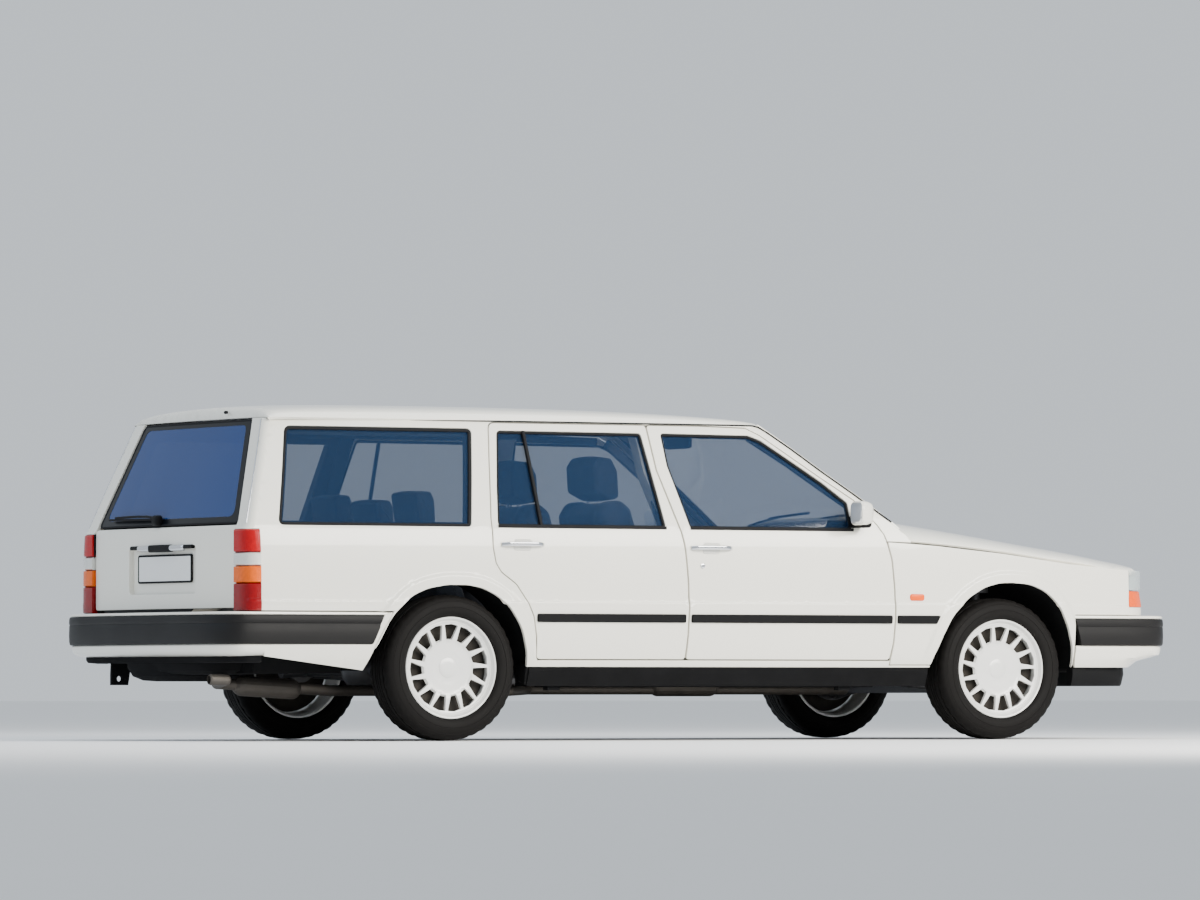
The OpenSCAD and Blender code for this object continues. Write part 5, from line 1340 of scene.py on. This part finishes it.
CAST = mat("cast_alloy", (0.30, 0.30, 0.31), 0.45, metal=0.7, noise=(0.2, 14.0), bump=(0.5, 300.0), rough_var=0.1)
COVER = mat("engine_cover", (0.030, 0.031, 0.034), 0.5, spec=0.3, noise=(0.2, 14.0), bump=(0.5, 260.0), rough_var=0.1)
rbox("engine_block", (2880, 0, 450), (600, 330, 300), 28, STEEL, "body", n=10, slot="cast_iron", replaces=("engine",))
rbox("engine_sump", (2860, 0, 322), (540, 280, 64), 24, STEEL, "body", n=8, slot="cast_iron")
rbox("engine_head", (2880, 0, 636), (590, 250, 96), 16, CAST, "body", n=10, slot="cast_iron")
rbox("engine_cam_cover", (2880, -6, 706), (560, 176, 56), 22, COVER, "body", n=12, crown=(0, 0, 8), slot="cast_iron")
for i in range(9):
    rbox(f"engine_cover_rib_{i}", (2650 + i * 57, -6, 736), (9, 150, 14), 4, COVER, "body", n=4)
lathe("oil_cap", [(22, 0), (24, 4), (24, 16), (18, 22), (0.5, 22)], (2700, -6, 732), (0, 0, 1), TRIM, "body", seg=24)
rbox("intake_plenum", (2880, 300, 690), (470, 84, 76), 34, CAST, "body", n=10)
for i in range(4):
    x = 2690 + i * 126
    bar(f"intake_runner_{i}", [(x, 110, 640), (x, 170, 672), (x, 230, 694), (x, 285, 694)], 46, 42, 20, CAST, "body", up=(1, 0, 0))
    bar(f"exhaust_runner_{i}", [(x, -110, 620), (x + 6, -165, 606), (2880 + (x - 2880) * 0.5, -205, 540), (2880 + (x - 2880) * 0.2, -215, 420)], 36, 36, 17, PIPE, "body", up=(1, 0, 0))
rbox("air_box", (3230, 300, 640), (220, 150, 150), 26, TRIM, "body", n=8, crown=(0, 0, 6))
bar("air_duct", [(3225, 270, 712), (3150, 290, 735), (3110, 300, 712)], 74, 66, 30, TRIM, "body", up=(0, 1, 0))
rbox("battery", (3230, -300, 606), (240, 160, 160), 8, TRIM, "body", n=6)
rbox("battery_top", (3230, -300, 694), (232, 152, 18), 6, COVER, "body", n=6)
for i, y in enumerate((-345, -255)):
    lathe(f"battery_post_{i}", [(12, 0), (12, 16), (9, 20), (0.5, 20)], (3300, y, 700), (0, 0, 1), CAST, "body", seg=20)
lathe("washer_tank", [(54, 0), (60, 10), (60, 120), (34, 140), (30, 152), (34, 154), (34, 164), (0.5, 166)], (2450, -330, 560), (0, 0, 1), PLATE, "body", seg=32)
lathe("brake_servo", [(30, 0), (104, 6), (118, 22), (118, 42), (96, 62), (40, 74), (24, 80), (24, 170), (0.5, 172)], (2336, 300, 716), (1, 0, 0), COVER, "body", seg=40)
bar("top_hose", [(3170, 30, 676), (3250, 60, 700), (3330, 120, 690), (3396, 170, 640)], 40, 40, 19, RUBBER, "body", up=(0, 0, 1))
bar("lower_hose", [(3170, -90, 520), (3260, -120, 470), (3330, -150, 450), (3396, -170, 440)], 38, 38, 18, RUBBER, "body", up=(0, 0, 1))
for nm, c, r in (("crank", (3196, 0, 400), 74), ("pump", (3196, 0, 560), 62), ("alternator", (3196, -150, 520), 36)):
    lathe(nm + "_pulley", [(0.5, 0), (r * 0.5, 0), (r, 3), (r - 5, 8), (r - 5, 14), (r, 19), (r * 0.55, 20), (r * 0.4, 12), (0.5, 12)], c, (1, 0, 0), STEEL, "body", seg=36)
lathe("fan_ring", [(196, 0), (206, 0), (206, 44), (196, 44)], (3330, 0, 530), (1, 0, 0), TRIM, "body", seg=56, caps=False)
for i in range(7):
    a = 2 * math.pi * i / 7
    d, e = np.array([0, math.cos(a), math.sin(a)]), np.array([0, -math.sin(a), math.cos(a)])
    c = np.array([3346.0, 0, 530])
    loft(f"fan_blade_{i}", [[c + d * q - e * w + np.array([-12, 0, 0]), c + d * q + e * w + np.array([14, 0, 0]), c + d * q + e * w + np.array([18, 0, 0]), c + d * q - e * w + np.array([-8, 0, 0])]
                            for q, w in ((34, 20), (90, 34), (150, 44), (188, 46))], TRIM, "body")
lathe("fan_hub", [(0.5, -14), (36, -12), (44, 0), (44, 22), (0.5, 26)], (3346, 0, 530), (1, 0, 0), STEEL, "body", seg=32)
rbox("radiator", (3404, 0, 510), (30, 640, 330), 5, STEEL, "body", n=8)
for i in range(30):
    rbox(f"radiator_fin_{i}", (3386, -300 + i * 20.6, 510), (8, 5, 300), 1.5, CAST, "body", n=2)
rbox("front_beam", (3424, 0, 700), (44, 1360, 78), 14, UNDER, "body", n=14, replaces=("inner_wings",))
rbox("front_beam_low", (3420, 0, 352), (40, 780, 84), 14, UNDER, "body", n=12)
for s, sd in ((1, "left"), (-1, "right")):
    rbox("lamp_panel_" + sd, (3416, s * 490, 530), (30, 378, 270), 10, UNDER, "body", n=8)
    rbox("bay_rail_" + sd, (2908, s * 420, 370), (1144, 40, 140), 10, UNDER, "body", n=14)
    panel("bay_wall_" + sd, rnd([(2338, 430), (3470, 430), (3470, 640), (3400, 690), (2338, 704)], 14, 3), [],
          num_map(lambda u, v, s=s: np.stack([u, s * 425 + 0 * u + s * 3 * np.sin(u / 60), v], 1), (0, -s, 0)), UNDER, "body", step=26, r=3, depth=12)
    panel("bay_shelf_" + sd, rnd([(2338, s * 424), (3400, s * 424), (3400, s * 700), (3300, s * 790), (2338, s * 806)], 14, 3), [],
          height_map(lambda x, y: np.interp(x, [2336, 2480, 3060, 3400], [716, 718, 718, 680]) + 2 * np.sin(x / 34)), UNDER, "body", step=30, r=3, depth=14)
    lathe("strut_tower_" + sd, [(126, 700), (118, 726), (108, 790), (96, 826), (78, 842), (50, 848), (48, 836), (26, 834), (24, 846), (0.5, 848)], (2770, s * 585, 0), (0, 0, 1), UNDER, "body", seg=48)
    for i in range(3):
        a = 2 * math.pi * i / 3 + 0.4
        lathe(f"strut_nut_{sd}_{i}", [(9, 0), (9, 9), (0.5, 10)], (2770 + 66 * math.cos(a), s * 585 + 66 * math.sin(a), 842), (0, 0, 1), CAST, "body", seg=6)
panel("front_tow_eye", [(3380, 310), (3425, 188), (3500, 188), (3500, 236), (3470, 310)], [[(3462 + 13 * math.cos(a), 212 + 13 * math.sin(a)) for a in np.linspace(0, 2 * math.pi, 25)[:-1]]],
      num_map(lambda u, v: np.stack([u, 429 + 0 * u, v], 1), (0, 1, 0)), STEEL, "body", step=20, r=2, depth=18)

# ------------------------------------------------------------------ CAD nodes that stay, with better finishes
for node, m in (("floor_pan", UNDER), ("bulkhead", UNDER), ("exhaust", PIPE), ("rear_axle", STEEL), ("front_suspension", STEEL),
                ("knuckle_left", STEEL), ("knuckle_right", STEEL)):
    ob = frame["nodes"][node] if isinstance(frame, dict) and "nodes" in frame else bpy.data.objects[node]
    for sl in ob.material_slots:
        sl.link = "OBJECT"
        sl.material = m

# ------------------------------------------------------------------ floor, sky and lights
me = bpy.data.meshes.new("ground")
me.from_pydata([(-120, -120, -0.001), (120, -120, -0.001), (120, 160, -0.001), (-120, 160, -0.001)], [], [(0, 1, 2, 3)])
me.materials.append(FLOOR)
ground = bpy.data.objects.new("ground", me)
S.collection.objects.link(ground)
w = bpy.data.worlds.new("sky")
S.world = w
w.use_nodes = True
bg = w.node_tree.nodes["Background"]
bg.inputs["Color"].default_value = (0.86, 0.93, 1.0, 1)
bg.inputs["Strength"].default_value = 0.85


def area(name, loc, target, size, power, color=(1, 1, 1)):
    l = bpy.data.lights.new(name, "AREA")
    l.shape = "RECTANGLE"
    l.size, l.size_y = size
    l.energy = power
    l.color = color
    o = bpy.data.objects.new(name, l)
    o.location = loc
    o.rotation_euler = (Vector(target) - Vector(loc)).to_track_quat("-Z", "Y").to_euler()
    S.collection.objects.link(o)
    return o


area("key", (3.0, -9.0, 4.6), (0.4, 0, 0.8), (9, 4), 1900, (1.0, 0.965, 0.90))
area("rear_fill", (-9.0, 2.0, 5.0), (-2.2, 0, 0.8), (6, 4), 120, (0.45, 0.66, 1.0))
area("top", (0, 0, 7.5), (0, 0, 0), (8, 5), 350, (0.92, 0.96, 1.0))
